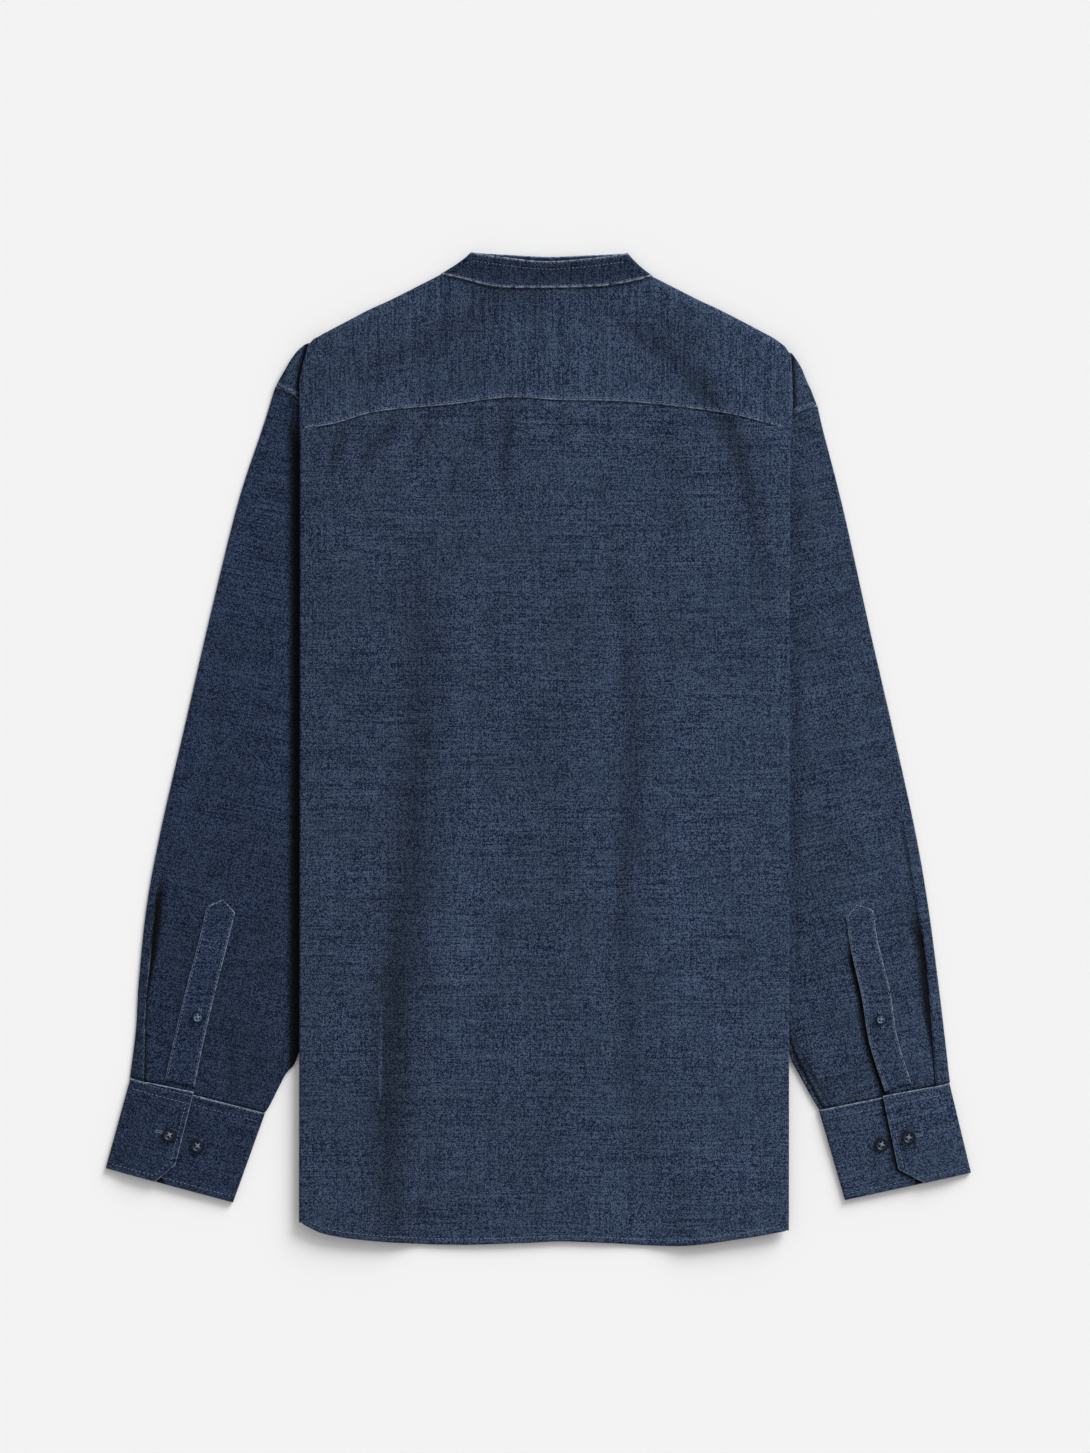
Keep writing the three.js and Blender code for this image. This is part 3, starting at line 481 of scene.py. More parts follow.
def makeThread():
    material, tree, shader = newMaterial("paleThread")
    place = newNode(tree, "ShaderNodeTexCoord").outputs["Object"]
    tone = noise(tree, stretched(tree, place, 0.003, 0.003), 2.0, 0.6)
    colour = mixed(tree, tone, (0.075, 0.1, 0.16, 1), (0.26, 0.33, 0.44, 1))
    tree.links.new(colour, shader.inputs["Base Color"])
    shader.inputs["Roughness"].default_value = 0.8
    return material


def makeButtonBlue(name, dark, pale):
    material, tree, shader = newMaterial(name)
    place = newNode(tree, "ShaderNodeTexCoord").outputs["Object"]
    cloud = noise(tree, stretched(tree, place, 0.003, 0.003), 3.0, 0.6, 2.0)
    centre = newNode(tree, "ShaderNodeAttribute", {"attribute_name": "centre"}).outputs["Fac"]
    share = math2(tree, "MULTIPLY", centre, math2(tree, "ADD", cloud, 0.35))
    colour = mixed(tree, share, dark, pale)
    tree.links.new(colour, shader.inputs["Base Color"])
    shader.inputs["Roughness"].default_value = 0.36
    shader.inputs["Specular IOR Level"].default_value = 0.22
    shader.inputs["Coat Weight"].default_value = 0.05
    shader.inputs["Coat Roughness"].default_value = 0.2
    return material


threadMaterial = makeThread()
buttonMaterials = {
    "cuff": makeButtonBlue("darkButton", (0.003, 0.004, 0.008, 1), (0.014, 0.032, 0.075, 1)),
    "placket": makeButtonBlue("blueButton", (0.004, 0.006, 0.014, 1), (0.075, 0.19, 0.33, 1)),
}
print("materials ready")


# Cloth. A grid is made and each of its points moved to its place; grain is the pattern's own
# coordinates and edge the distance to the nearest pale edge, all in millimetres. paintedShading is the
# share of its light that the cloth keeps, painted into its colour: painted shade deep in a fold, beside
# raised parts and away from the light, painted highlight towards it, and a paler band on a seam ridge.
def layCloth(name, x, y, z, grain, edge, thickness, material, closed=False, paintedShading=1.0):
    rows, columns = x.shape
    bm = bmesh.new()
    bmesh.ops.create_grid(bm, x_segments=columns - 1, y_segments=rows - 1, size=0.5)
    mesh = meshOf(name, bm)
    flat = np.empty(len(mesh.vertices) * 3)
    mesh.vertices.foreach_get("co", flat)
    flat = flat.reshape(-1, 3)
    column = np.rint((flat[:, 0] + 0.5) * (columns - 1)).astype(int)
    row = np.rint((0.5 - flat[:, 1]) * (rows - 1)).astype(int)
    point = np.stack([0.001 * x + origin["x"], 0.001 * y + origin["y"], 0.001 * z], -1)[row, column]
    mesh.vertices.foreach_set("co", point.ravel())
    corner = np.empty(len(mesh.loops), int)
    mesh.loops.foreach_get("vertex_index", corner)
    grain = 0.001 * np.stack(np.broadcast_arrays(*grain), -1)[row, column]
    mesh.uv_layers.new(name="grain").data.foreach_set("uv", grain[corner].ravel())
    edge = np.broadcast_to(edge, x.shape)[row, column] * 0.001
    mesh.attributes.new("edge", "FLOAT", "POINT").data.foreach_set("value", edge)
    paintedShading = np.array(np.broadcast_to(paintedShading, x.shape)[row, column], float)
    mesh.attributes.new("paintedShading", "FLOAT", "POINT").data.foreach_set("value", paintedShading)
    bm = bmesh.new()
    bm.from_mesh(mesh)
    if closed:
        bmesh.ops.remove_doubles(bm, verts=bm.verts, dist=1e-7)
    bmesh.ops.recalc_face_normals(bm, faces=bm.faces)
    outward = sum(
        face.normal.z * face.calc_area() * (face.calc_center_median().z - 0.004) for face in bm.faces
    )
    if outward < 0:
        bmesh.ops.reverse_faces(bm, faces=bm.faces)
    for face in bm.faces:
        face.smooth = True
    bm.to_mesh(mesh)
    bm.free()
    piece = addObject(name, mesh)
    mesh.materials.append(material)
    shell = piece.modifiers.new("thickness", "SOLIDIFY")
    shell.thickness = 0.001 * thickness
    shell.offset = 0
    print(name, "laid:", rows, "by", columns)
    return piece


def acrossRows(x, z, start):  # length along each row, counted from one column
    length = np.cumsum(np.hypot(np.diff(x, axis=1), np.diff(z, axis=1)), axis=1)
    length = np.hstack([np.zeros((len(x), 1)), length])
    return length - length[:, start : start + 1]


# Shares from 0 to 1 along a length, fine near both ends.
def stations(length, step, fine=None, reach=0):
    middle = np.linspace(0, 1, max(int(length / step), 2) + 1)
    if not fine:
        return middle
    first = np.arange(0, reach, fine) / length
    inside = middle[(middle > reach / length) & (middle < 1 - reach / length)]
    return np.concatenate([first, inside, 1 - first[::-1]])


# The body: one half of a section from the centre out, with its open part, the crease, the part
# turned under, the inner fold and the part tucked back. reach is -1 on the open part, 0 at the
# crease, 1 at the inner fold and 2 at the edge.
def halfSection(levels, crease, tuck, edge, cells):
    top, turned, tucked = levels
    outerRadius = abs(top - turned) / 2
    innerRadius = abs(turned - tucked) / 2
    outerX = crease - cloth["wall"] / 2 - outerRadius
    innerX = tuck + cloth["wall"] / 2 + innerRadius
    down = np.sign(turned - top)
    arc = np.linspace(-math.pi / 2, math.pi / 2, cells["arc"])
    opened = np.linspace(cells["start"], 1, cells["open"], endpoint=False)
    under = np.linspace(0, 1, cells["turned"] + 2)[1:-1]
    back = np.linspace(0, 1, cells["tucked"] + 1)[1:]
    column = np.ones_like(crease)
    x = np.hstack([
        opened * outerX,
        outerX + outerRadius * np.cos(arc),
        lerp(outerX, innerX, under),
        innerX - innerRadius * np.cos(arc),
        lerp(innerX, edge, back),
    ])
    z = column * np.hstack([
        np.full(len(opened), top),
        (top + turned) / 2 + down * outerRadius * np.sin(arc),
        np.full(len(under), turned),
        (turned + tucked) / 2 + down * innerRadius * np.sin(arc),
        np.full(len(back), tucked),
    ])
    reach = column * np.hstack([
        np.full(len(opened), -1), np.zeros(len(arc)), under, np.ones(len(arc)), 1 + back,
    ])
    return x, z, reach


def laidDown(side, x, y):  # how far the cloth beside the body has come down to the surface
    crease = side["crease"](y)
    return ease(crease + 7, crease + 27, np.abs(x))


def shoulderLine(side, x):
    return side["shoulderEdge"](np.abs(x))


def emerged(side, x, y):  # how far a sleeve has come down just outside the body's edge
    crease = side["crease"](y)
    return ease(crease - 4, crease + 4.5, np.abs(x))


underCorner = 0.1


def tuckedTop(side, t):
    x = lerp(side["tuck"](side["shoulder"][1]), side["armholeTop"][0], t)
    return np.minimum(shoulderLine(side, x), side["shoulder"][1] - underCorner)


back = {
    "left": through(
        (0, 5.9), (0.2, 5.75), (0.36, 5.3), (0.5, 4.7), (0.6, 6.3), (0.66, 7.25), (0.85, 8.1), (1, 8.4),
    ),
    "right": through(
        (0, 5.9), (0.2, 5.5), (0.34, 4.5), (0.42, 4.5), (0.5, 6), (0.57, 7.2), (0.8, 8), (1, 8.4),
    ),
    "hemCut": {"from": 70, "to": 125},
    "sideSeamRise": 40,
    "creases": [
        fold(
            17, 2.8, 0.42,
            (-107, 560), (-102, 452), (-108, 342), (-118, 206), (-124, 70), (-118, 10),
        ),
        fold(
            10, 1.8, 0.31,
            (50, 590), (62, 500), (68, 430), (67, 350), (62, 250), (68, 130), (76, 60),
        ),
        fold(
            10, 1.6, 0.44,
            (40, 756), (84, 722), (113, 698), (132, 676), (150, 646), (166, 581), (176, 517),
        ),
        fold(6, 0.9, 0.44, (-29, 680), (-30, 650), (-34, 606)),
        fold(4, 0.6, 0.3, (-52, 676), (-53, 655), (-56, 630)),
        fold(6, 0.7, 0.36, (-92, 672), (-98, 650), (-108, 626)),
        fold(7, 0.7, 0.4, (-112, 668), (-130, 645), (-150, 622)),
        fold(5, 0.7, 0.42, (-156, 662), (-164, 640), (-174, 616)),
        fold(4, 0.5, 0.2, (-180, 656), (-182, 640), (-184, 618)),
        fold(5, 0.5, 0.24, (12, 680), (13, 655), (16, 632)),
        fold(4, 0.4, 0.16, (46, 676), (47, 660), (50, 640)),
        fold(11, 0.9, 0.24, (-40, 756), (-86, 726), (-128, 706), (-160, 690)),
        fold(8, 0.6, 0.2, (-46, 762), (-58, 724), (-60, 684)),
        fold(8, 0.5, 0.2, (70, 752), (98, 734), (136, 718)),
        fold(10, 0.5, 0.12, (96, 660), (104, 630), (108, 600)),
        fold(17, 1.2, 0.26, (-122, 250), (-127, 130), (-122, 30), (-118, -60)),
        fold(22, 0.6, 0.1, (10, 560), (4, 400), (8, 240), (2, 60)),
        fold(16, -0.9, -0.08, (-74, 470), (-68, 330), (-70, 180), (-76, 60)),
        fold(16, -0.7, -0.1, (104, 440), (106, 300), (104, 180), (108, 60)),
    ],
    "cells": {"start": 0, "open": 74, "arc": 11, "turned": 10, "tucked": 12},
    "row": 4.0,
    "neckShade": 0.3,
    "litEdge": 0.6,
    "lit": 0.3,
    "cut": (0.54, 0.68),
    "area": 0.36,
}


# Height of the middle of the back's cloth, with its creases pressed in.
def backHeight(x, y):
    isLeft = x < 0
    crease = np.where(isLeft, sides["left"]["crease"](y), sides["right"]["crease"](y))
    out = np.abs(x) / crease
    laid = np.where(isLeft, back["left"](out), back["right"](out))
    loose = 1 - ease(0.5, 0.62, out)
    nearHem = 1 - ease(back["hemCut"]["from"] - 30, back["hemCut"]["to"] + 10, y)
    nearNeck = ease(700, 766, y) * (1 - ease(30, 80, np.abs(x)))
    lift = 0.9 * nearNeck - loose * nearHem * lerp(2.4, 2.2, np.clip(out / 0.4, 0, 1))
    pressed = sum(press(crease, x, y) for crease in back["creases"])
    clear = 0.75 + 0.25 * (1 - ease(0.5, 0.6, out))
    free = 1 - ease(0.86, 0.97, out)
    uneven = ripple(x, y, 4, 70, 0.16) + ripple(x, y, 9, 26, 0.05)
    return laid + lift - pressed * clear * (1 - nearHem) + uneven * free


roll = {"reach": 9, "seam": 0.5 + layer + 0.3 + layer}


def yokeRoll(side, x, y, z):  # towards the shoulder seam the yoke rolls down to meet the front
    out = np.abs(x)
    inset = np.clip((shoulderLine(side, x) - y) / roll["reach"], 0, 1)
    arc = np.sqrt(1 - (1 - inset) ** 2)
    corner = side["shoulder"][0]
    held = ease(corner - 16, corner - 4, out)
    fromNeck = ease(side["neckX"] - 4, side["neckX"] + 12, out)
    return lerp(z, lerp(roll["seam"], z, np.maximum(arc, held)), fromNeck)


# Both halves of the yoke or the back. upper and lower are its edges on the open part, and at gives
# the heights of the crease, the inner fold and the tucked edge for each row.
def backGrid(v, upper, lower, at, cells):
    halves = []
    for side in (sides["left"], sides["right"]):
        creaseY, tuckY, tuckedY = at(side, v)
        levels = (stack["backTop"], stack["backTurned"], stack["backTucked"])
        edgeX = side["armhole"](tuckedY(1)) - cloth["gap"] / 2
        x, z, reach = halfSection(levels, side["crease"](creaseY), side["tuck"](tuckY), edgeX, cells)
        signed = side["sign"] * x
        openY = lerp(upper(side, signed), lower(side, signed), v)
        t = np.clip(reach, 0, 1)
        y = np.where(reach < 0, openY, np.where(reach <= 1, lerp(creaseY, tuckY, t), tuckedY(reach - 1)))
        beside = lerp(z, stack["front"] + layer + 0.2, laidDown(side, signed, y))
        opened = yokeRoll(side, signed, y, backHeight(signed, y))
        z = np.where(reach < 0, opened, np.where(reach > 1, beside, z))
        halves.append([signed, y, z, reach])
    left, right = halves
    return [np.hstack([a[:, ::-1], b[:, 1:]]) for a, b in zip(left, right)]


# Painted shade in the back's creases and below the band, and a painted highlight beside the lit right crease,
# on the open part.
def backPaintedShading(x, y, isOpen):
    kept = sum(press(crease, x, y, dark=True) for crease in back["creases"])
    underBand = back["neckShade"] * near(26, neckSeam(x) - y) * near(74, np.abs(x + 14))
    towardsLight = back["lit"] * near(4.5, sides["right"]["crease"](y) - x) * (x > 0)
    return 1 + (towardsLight - kept - underBand) * isOpen


def insideCrease(x):  # 1 on the open part, 0 near the creases
    return 1 - ease(178, 190, np.abs(x))


yoke = {
    "lap": 0.6,
    "raised": 0.6,
    "ridge": 8,
    "pucker": 0.2,
    "seamRidge": 0.8,
    "ridgePaler": 0.75,
    "ridgeShade": 0.5,
    "wingGrain": -32,
    "paintedCreaseShadow": (0.92, 0.85),
    "creaseShadowReach": 4,
    "row": 1.4,
    "cut": (0.45, 0.125),
    "area": 0.041,
}


def seamPucker(x, distance):  # small gathers drawn up by the stitching
    wave = np.sin(x / 1.7 + 2.1 * np.sin(x / 23)) + 0.7 * np.sin(x / 1.05 + 1.7 * np.sin(x / 31))
    return wave * np.exp(-distance / 6)


# Distance from the seam where the sleeve is set in, and from the body's crease above it.
def fromSeams(x, y):
    both = []
    for side in (sides["left"], sides["right"]):
        low = np.array(side["armholeLow"])
        along = np.array(side["armholeTop"]) - low
        across = (y - low[1]) * along[0] - (np.abs(x) - low[0]) * along[1]
        both.append((across / np.hypot(*along), np.abs(x) - side["crease"](y)))
    return [np.where(x < 0, *pair) for pair in zip(*both)]


def makeYoke():
    length = 100
    v = stations(length, yoke["row"], 1.0, 9)[:, None]

    def at(side, v):
        seam = yokeSeam(side["sign"] * 196) + cloth["gap"] / 2
        shoulderY = side["shoulder"][1]
        creaseY = lerp(shoulderY, seam, v)
        tuckY = lerp(shoulderY - underCorner, seam, v)
        return creaseY, tuckY, lambda t: lerp(tuckedTop(side, t), seam, v)

    def upper(side, x):
        return np.where(np.abs(x) < side["neckX"], neckSeam(x) + 1.6, shoulderLine(side, x))

    def lower(side, x):
        return yokeSeam(x) + cloth["gap"] / 2 - yoke["lap"] * insideCrease(x)

    x, y, z, reach = backGrid(v, upper, lower, at, {**back["cells"], "tucked": 32})
    isOpen = reach < 0
    toSeam = np.where(isOpen, y - lower(None, x), far)
    toNeck = np.where(isOpen & (np.abs(x) < 80), neckSeam(x) - y, far)
    z += yoke["raised"] * near(yoke["ridge"], toSeam) * insideCrease(x)
    z -= 0.55 * near(5, np.maximum(toNeck, 0)) * (1 - ease(66, 80, np.abs(x)))
    z += yoke["pucker"] * seamPucker(x, toSeam) * isOpen * insideCrease(x)
    onWing = (reach > 1) * ease(0, 6, np.abs(x) - 190)
    toSleeve, fromCrease = fromSeams(x, y)
    z += yoke["seamRidge"] * near(1.4, np.maximum(toSleeve - 3.6, 0)) * onWing
    z -= 0.25 * near(0.9, np.abs(toSleeve - 2.3)) * onWing
    middle = x.shape[1] // 2
    ridgeLines = np.minimum(np.abs(toSleeve - 0.5), np.abs(toSleeve - 3.9)) + 0.7
    edge = np.minimum(toSeam - 0.05, np.where(onWing > 0, ridgeLines, far))
    # A paler band on the raised armhole ridge, painted shade in the ridge's shadow line below it, and painted
    # shadow on the wing beside the body's crease.
    paintedShading = backPaintedShading(x, y, isOpen) + yoke["ridgePaler"] * onWing * near(1.5, np.maximum(toSleeve - 3.4, 0))
    paintedShading -= yoke["ridgeShade"] * onWing * near(1.8, np.abs(toSleeve - 5.6))
    besideBody = near(yoke["creaseShadowReach"], np.maximum(fromCrease - 0.8, 0)) * (reach > 1)
    paintedShading *= 1 - np.where(x < 0, *yoke["paintedCreaseShadow"]) * besideBody
    turn = np.sign(x) * math.radians(yoke["wingGrain"])
    onUnder = reach > 1
    grain = (
        np.where(onUnder, x * np.cos(turn) - y * np.sin(turn), acrossRows(x, z, middle)) + 900,
        np.where(onUnder, x * np.sin(turn) + y * np.cos(turn), y),
    )
    material = shirtingMaterials["yoke"]
    return layCloth("yokeCloth", x, y, z, grain, edge, cloth["shown"], material, paintedShading=paintedShading)


def makeBack():
    v = stations(655, back["row"], 1.2, 9)[:, None]

    def at(side, v):
        seam = yokeSeam(side["sign"] * 196) - cloth["gap"] / 2
        low = hem(side["sign"] * 196)
        creaseY = lerp(seam, low, v)
        tuckY = lerp(seam, low + back["sideSeamRise"], v)
        return creaseY, tuckY, lambda t: tuckY + 0 * t

    def upper(side, x):
        return yokeSeam(x) - cloth["gap"] / 2 + 2.4 * insideCrease(x)

    x, y, z, reach = backGrid(v, upper, lambda side, x: hem(x), at, back["cells"])
    isOpen = reach < 0
    toSeam = np.where(isOpen, yokeSeam(x) - y, far)
    toHem = np.where(isOpen, y - hem(x), far)
    z -= 0.45 * near(5, np.maximum(toSeam, 0)) * insideCrease(x)
    z += 0.3 * seamPucker(x, np.maximum(toSeam, 0)) * yoke["pucker"] * isOpen * insideCrease(x)
    z += 0.28 * near(3.4, np.abs(toHem - 2.4)) * isOpen * insideCrease(x)
    middle = x.shape[1] // 2
    grain = (acrossRows(x, z, middle), y)
    # A painted highlight along the back's right crease, where light falls on the fold, shares the pale edge
    # colour.
    toLitEdge = np.abs(x - sides["right"]["crease"](y)) + back["litEdge"]
    edge = np.minimum(toHem + 0.6, np.where((reach <= 0) & (x > 0), toLitEdge, far))
    paintedShading = backPaintedShading(x, y, isOpen)
    material = shirtingMaterials["body"]
    return layCloth("backCloth", x, y, z, grain, edge, cloth["shown"], material, paintedShading=paintedShading)


fronts = {
    "inset": 6,
    "button": 2.2,
    "bandHalf": 16,
    "bandSlope": 18,
    "rise": 8,
    "cells": {"start": -0.083, "open": 70, "arc": 7, "turned": 12, "tucked": 3},
    "row": 5.0,
    "cut": (0.31, 0.77),
    "area": (0.194, 0.206),
}
bandUnder = fronts["button"] + cloth["gap"] + cloth["wall"] / 2
bandOver = bandUnder + layer


def frontHeight(side, x, y, bandLevel):
    out = side["sign"] * x
    onBand = 1 - ease(fronts["bandHalf"] + 2, fronts["bandHalf"] + fronts["bandSlope"], out)
    raised = ease(back["hemCut"]["from"], back["hemCut"]["to"], y)
    level = bandLevel - (fronts["button"] + cloth["gap"]) * (1 - raised)
    toShoulder = np.clip((shoulderLine(side, x) - y) / 5, 0, 1)
    atShoulder = np.where(out > side["neckX"], 1 - np.sqrt(1 - (1 - toShoulder) ** 2), 0)
    corner = 1 - ease(side["shoulder"][0] - 16, side["shoulder"][0] - 4, out)
    return lerp(stack["front"], level, onBand) + (layer + 0.3) * atShoulder * corner


def makeFront(side, name, bandLevel):
    v = stations(700, fronts["row"], 1.2, 7)[:, None]
    low = hem(side["sign"] * 196) + fronts["rise"]
    shoulderY = side["shoulder"][1]
    creaseY = lerp(shoulderY, low, v)
    tuckY = lerp(shoulderY - underCorner, low + back["sideSeamRise"], v)
    levels = (stack["front"], stack["frontTurned"], stack["frontTucked"])

    def tuckedY(t):
        return lerp(tuckedTop(side, t), low + back["sideSeamRise"], v)

    edgeX = side["armhole"](tuckedY(1)) - cloth["gap"] / 2
    creaseX = side["crease"](creaseY) - fronts["inset"]
    x, z, reach = halfSection(levels, creaseX, side["tuck"](tuckY), edgeX, fronts["cells"])
    signed = side["sign"] * x
    top = np.where(x < side["neckX"], frontNeck(signed) - cloth["gap"], shoulderLine(side, signed))
    openY = lerp(top, hem(signed) + fronts["rise"], v)
    t = np.clip(reach, 0, 1)
    y = np.where(reach < 0, openY, np.where(reach <= 1, lerp(creaseY, tuckY, t), tuckedY(reach - 1)))
    beside = lerp(z, stack["front"], laidDown(side, signed, y))
    z = np.where(reach < 0, frontHeight(side, signed, y, bandLevel), np.where(reach > 1, beside, z))
    toBandEdge = np.where(reach < 0, x + fronts["bandHalf"], far)
    grain = (acrossRows(signed, z, 0) + 1500 * side["sign"], y)
    return layCloth(name, signed, y, z, grain, toBandEdge + 0.2, cloth["shown"], shirtingMaterials["body"])


# The band: a flattened ring, open at the centre front, its left end over its right one as worn.
band = {
    "end": 13,
    "base": (83.6, 87),
    "top": (59, 66.5),
    "row": 1.3,
    "raised": 0.95,
    "lap": 0.5,
    "ribs": 0.5,
    "cut": (0.335, 0.03),
    "area": 0.0088,
}


def makeBand():
    ply = cloth["twoPly"]
    gap = cloth["gap"]
    under = fronts["button"] + gap + ply / 2
    over = under + ply + gap
    v = np.linspace(0, 1, int(30 / band["row"]))[:, None]
    leftEdge = -lerp(band["base"][0], band["top"][0], v)
    rightEdge = lerp(band["base"][1], band["top"][1], v)

    def backLevel(x):
        return lerp(6.6, 5.4, ease(20, 78, np.abs(x)))

    def frontLevel(x, centre):
        return lerp(centre, ply / 2, ease(14, 46, np.abs(x)))

    turn = (backLevel(leftEdge) - ply / 2) / 2
    middle = (backLevel(leftEdge) + ply / 2) / 2
    start = leftEdge + turn + ply / 2
    stop = rightEdge - turn - ply / 2
    arc = np.linspace(-math.pi / 2, math.pi / 2, 11)
    one = np.ones_like(v)
    columns = []

    def put(x, z, isBack):
        x = x * one
        low = np.where(isBack, neckSeam(x), frontNeck(x)) + gap
        high = np.where(isBack, bandBackTop(x), bandFrontTop(x))
        inBack = np.where(isBack, 1 - ease(0.86, 1, np.abs(x) / np.where(x < 0, -leftEdge, rightEdge)), 0)
        y = lerp(low - band["lap"] * inBack - gap * inBack, high, v)
        fromLow = y - low
        z = z * one + band["raised"] * near(5, np.maximum(fromLow, 0)) * inBack
        z += 0.25 * near(2.2, high - y) * inBack - 0.2 * near(1.2, np.abs(high - y - 2.6)) * inBack
        edge = np.minimum(y - low + (band["lap"] + gap) * inBack - 0.5, high - y - 0.1)
        ribs = 0.5 + 0.5 * np.sin(x * 2.7 + 0.8 * np.sin(x / 3.1))
        paintedShading = 1 - inBack * band["ribs"] * ribs * near(3.4, np.abs(high - y - 5.4))
        columns.append((x, y, z, np.where(isBack, edge, np.where(high - y < 9, high - y, 9)), paintedShading))

    put(np.linspace(band["end"], -band["end"], 10), under, False)
    x = lerp(-band["end"], start, np.linspace(0, 1, 18)[1:-1])
    put(x, frontLevel(x, under), False)
    put(start - turn * np.cos(arc), middle + turn * np.sin(arc), (arc >= 0) * one > 0)
    x = lerp(start, stop, np.linspace(0, 1, 210)[1:-1])
    put(x, backLevel(x), True)
    put(stop + turn * np.cos(arc), middle - turn * np.sin(arc), (arc < 0) * one > 0)
    x = lerp(stop, band["end"], np.linspace(0, 1, 18)[1:-1])
    put(x, frontLevel(x, over), False)
    put(np.linspace(band["end"], -band["end"], 10), over, False)
    x, y, z, edge, paintedShading = (np.hstack(part) for part in zip(*columns))
    grain = (acrossRows(x, z, x.shape[1] // 2) + 2400, y)
    material = shirtingMaterials["band"]
    return layCloth("bandCloth", x, y, z, grain, edge, cloth["shownTwoPly"], material, paintedShading=paintedShading)


# A sleeve is a flattened tube between its outer and inner edges, from the armhole to the cuff.
sleeves = {
    "puff": 3.2,
    "beside": through((-10, 0), (4, 0.02), (8, 0.42), (14, 0.72), (30, 1)),
    "paintedCreaseShadow": {"left": (0.93, 5.5, 11.5), "right": (0.24, 2, 7)},
    "darkerTowardCuff": {"left": 0.84, "right": 1},
    "lean": 12,
    "row": 3.3,
    "area": 0.136,
    "left": {
        "pleat": through((136, 320.6), (160, 320), (192, 319.2), (230, 315.6), (274, 311.4), (302, 307)),
        "pleatFrom": 100,
        "pleatTo": 318,
        "pleatShade": 8.5,
        "pleatWide": (192, 250),
        "pleatFade": (306, 284),
        "creases": [
            fold(12, 0.9, 0, (262, 470), (276, 380), (290, 300)),
            fold(14, 0.9, 0, (222, 560), (232, 470), (246, 390)),
            fold(9, 0.6, 0.12, (262, 190), (256, 170), (250, 140)),
            fold(8, 0.6, 0, (305, 190), (309, 165), (311, 140)),
            fold(4, 0.5, 0.25, (252, 150), (250, 130), (246, 116)),
            fold(3, 0.4, 0.2, (236, 138), (236, 124), (234, 112)),
            fold(14, 0.4, 0.1, (214, 330), (224, 260), (236, 200)),
        ],
        "seamShade": 0.15,
        "cut": (0.42, 0.58),
    },
    "right": {
        "pleat": through(
            (132, 312.9), (160, 311), (193, 308.6), (236, 304.6), (262, 299.6), (302, 292), (352, 284),
        ),
        "pleatFrom": 100,
        "pleatTo": 366,
        "pleatShade": 9.5,
        "pleatWide": (138, 205),
        "pleatFade": (292, 244),
        "creases": [
            fold(13, 0.9, 0, (250, 480), (262, 390), (276, 300)),
            fold(13, 0.8, 0, (216, 540), (222, 450), (240, 360)),
            fold(9, 0.6, 0, (238, 190), (232, 160), (230, 132)),
            fold(3, 0.5, 0.35, (226, 140), (228, 126), (231, 112)),
            fold(1.4, 0.2, 0.8, (193, 172), (200, 156), (209, 138), (217, 122), (227, 103)),
            fold(1.5, 0.3, 0.75, (198, 172), (205, 156), (213, 140), (221, 126), (231, 106)),
            fold(3, 0.4, 0.3, (240, 134), (243, 122), (247, 112)),
            fold(3, -0.4, -0.2, (222, 150), (234, 132), (242, 116)),
        ],
        "seamShade": 0.85,
        "cut": (0.42, 0.57),
    },
}


def sleeveEdges(side):
    t = np.linspace(0, 1, 24)
    y = lerp(side["armholeTop"][1], side["inner"][0][1], t * t)
    seam = np.stack([side["armhole"](y) + lerp(cloth["gap"], 3, t), y - lerp(cloth["gap"], 0, t)], -1)
    outer = route([seam[0], *side["outer"][1:]])
    inner = route([seam[-1], *side["inner"][1:]])
    return route(seam), outer, inner


for side in sides.values():
    side["edges"] = sleeveEdges(side)


def sleevePlan(side, u, v):  # u across from the outer edge, v along from the armhole
    armhole, outer, inner = side["edges"]
    u1 = u[..., None]
    v1 = v[..., None]
    cuffLine = lerp(outer(1), inner(1), u1)
    corners = lerp(lerp(armhole(0), armhole(1), u1), cuffLine, v1)
    return lerp(armhole(u), cuffLine, v1) + lerp(outer(v), inner(v), u1) - corners


def pleatShape(own, x, y):
    offset = x - own["pleat"](y)  # positive outside the fold
    along = ease(own["pleatTo"], own["pleatTo"] - 50, y)
    width = lerp(1.5, 4.2, ease(170, 300, y))
    groove = np.where(offset < 0, np.exp(-((offset / width) ** 2)), near(0.9, offset))
    strip = ease(0, 1.2, offset) * near(12, offset)
    return along, offset, -1.15 * groove * along, 0.75 * strip * along


# Painted shade in the pleat's groove, widening upward and fading at its top.
def pleatDark(own, x, y):
    along, offset, _, _ = pleatShape(own, x, y)
    width = lerp(1.6, own["pleatShade"], ease(*own["pleatWide"], y))
    faded = ease(*own["pleatFade"], y)
    within = 1 - ease(0.3, 1.15, -offset / width)
    return 0.95 * faded * along * np.where(offset < 0, within, near(0.5, offset))


# Beside the raised inner edge of the right opening the cloth is in its shade.
def placketShade(word, x, y):
    own = plackets[word]
    rising = own["line"][::-1]
    centre = through(*[(low, middle) for middle, low, _ in rising])
    half = through(*[(low, wide) for _, low, wide in rising])
    out = centre(y) - half(y) - x
    return own["shade"] * near(4, np.maximum(out - 2.6, 0)) * (out > -3) * ease(250, 226, y)


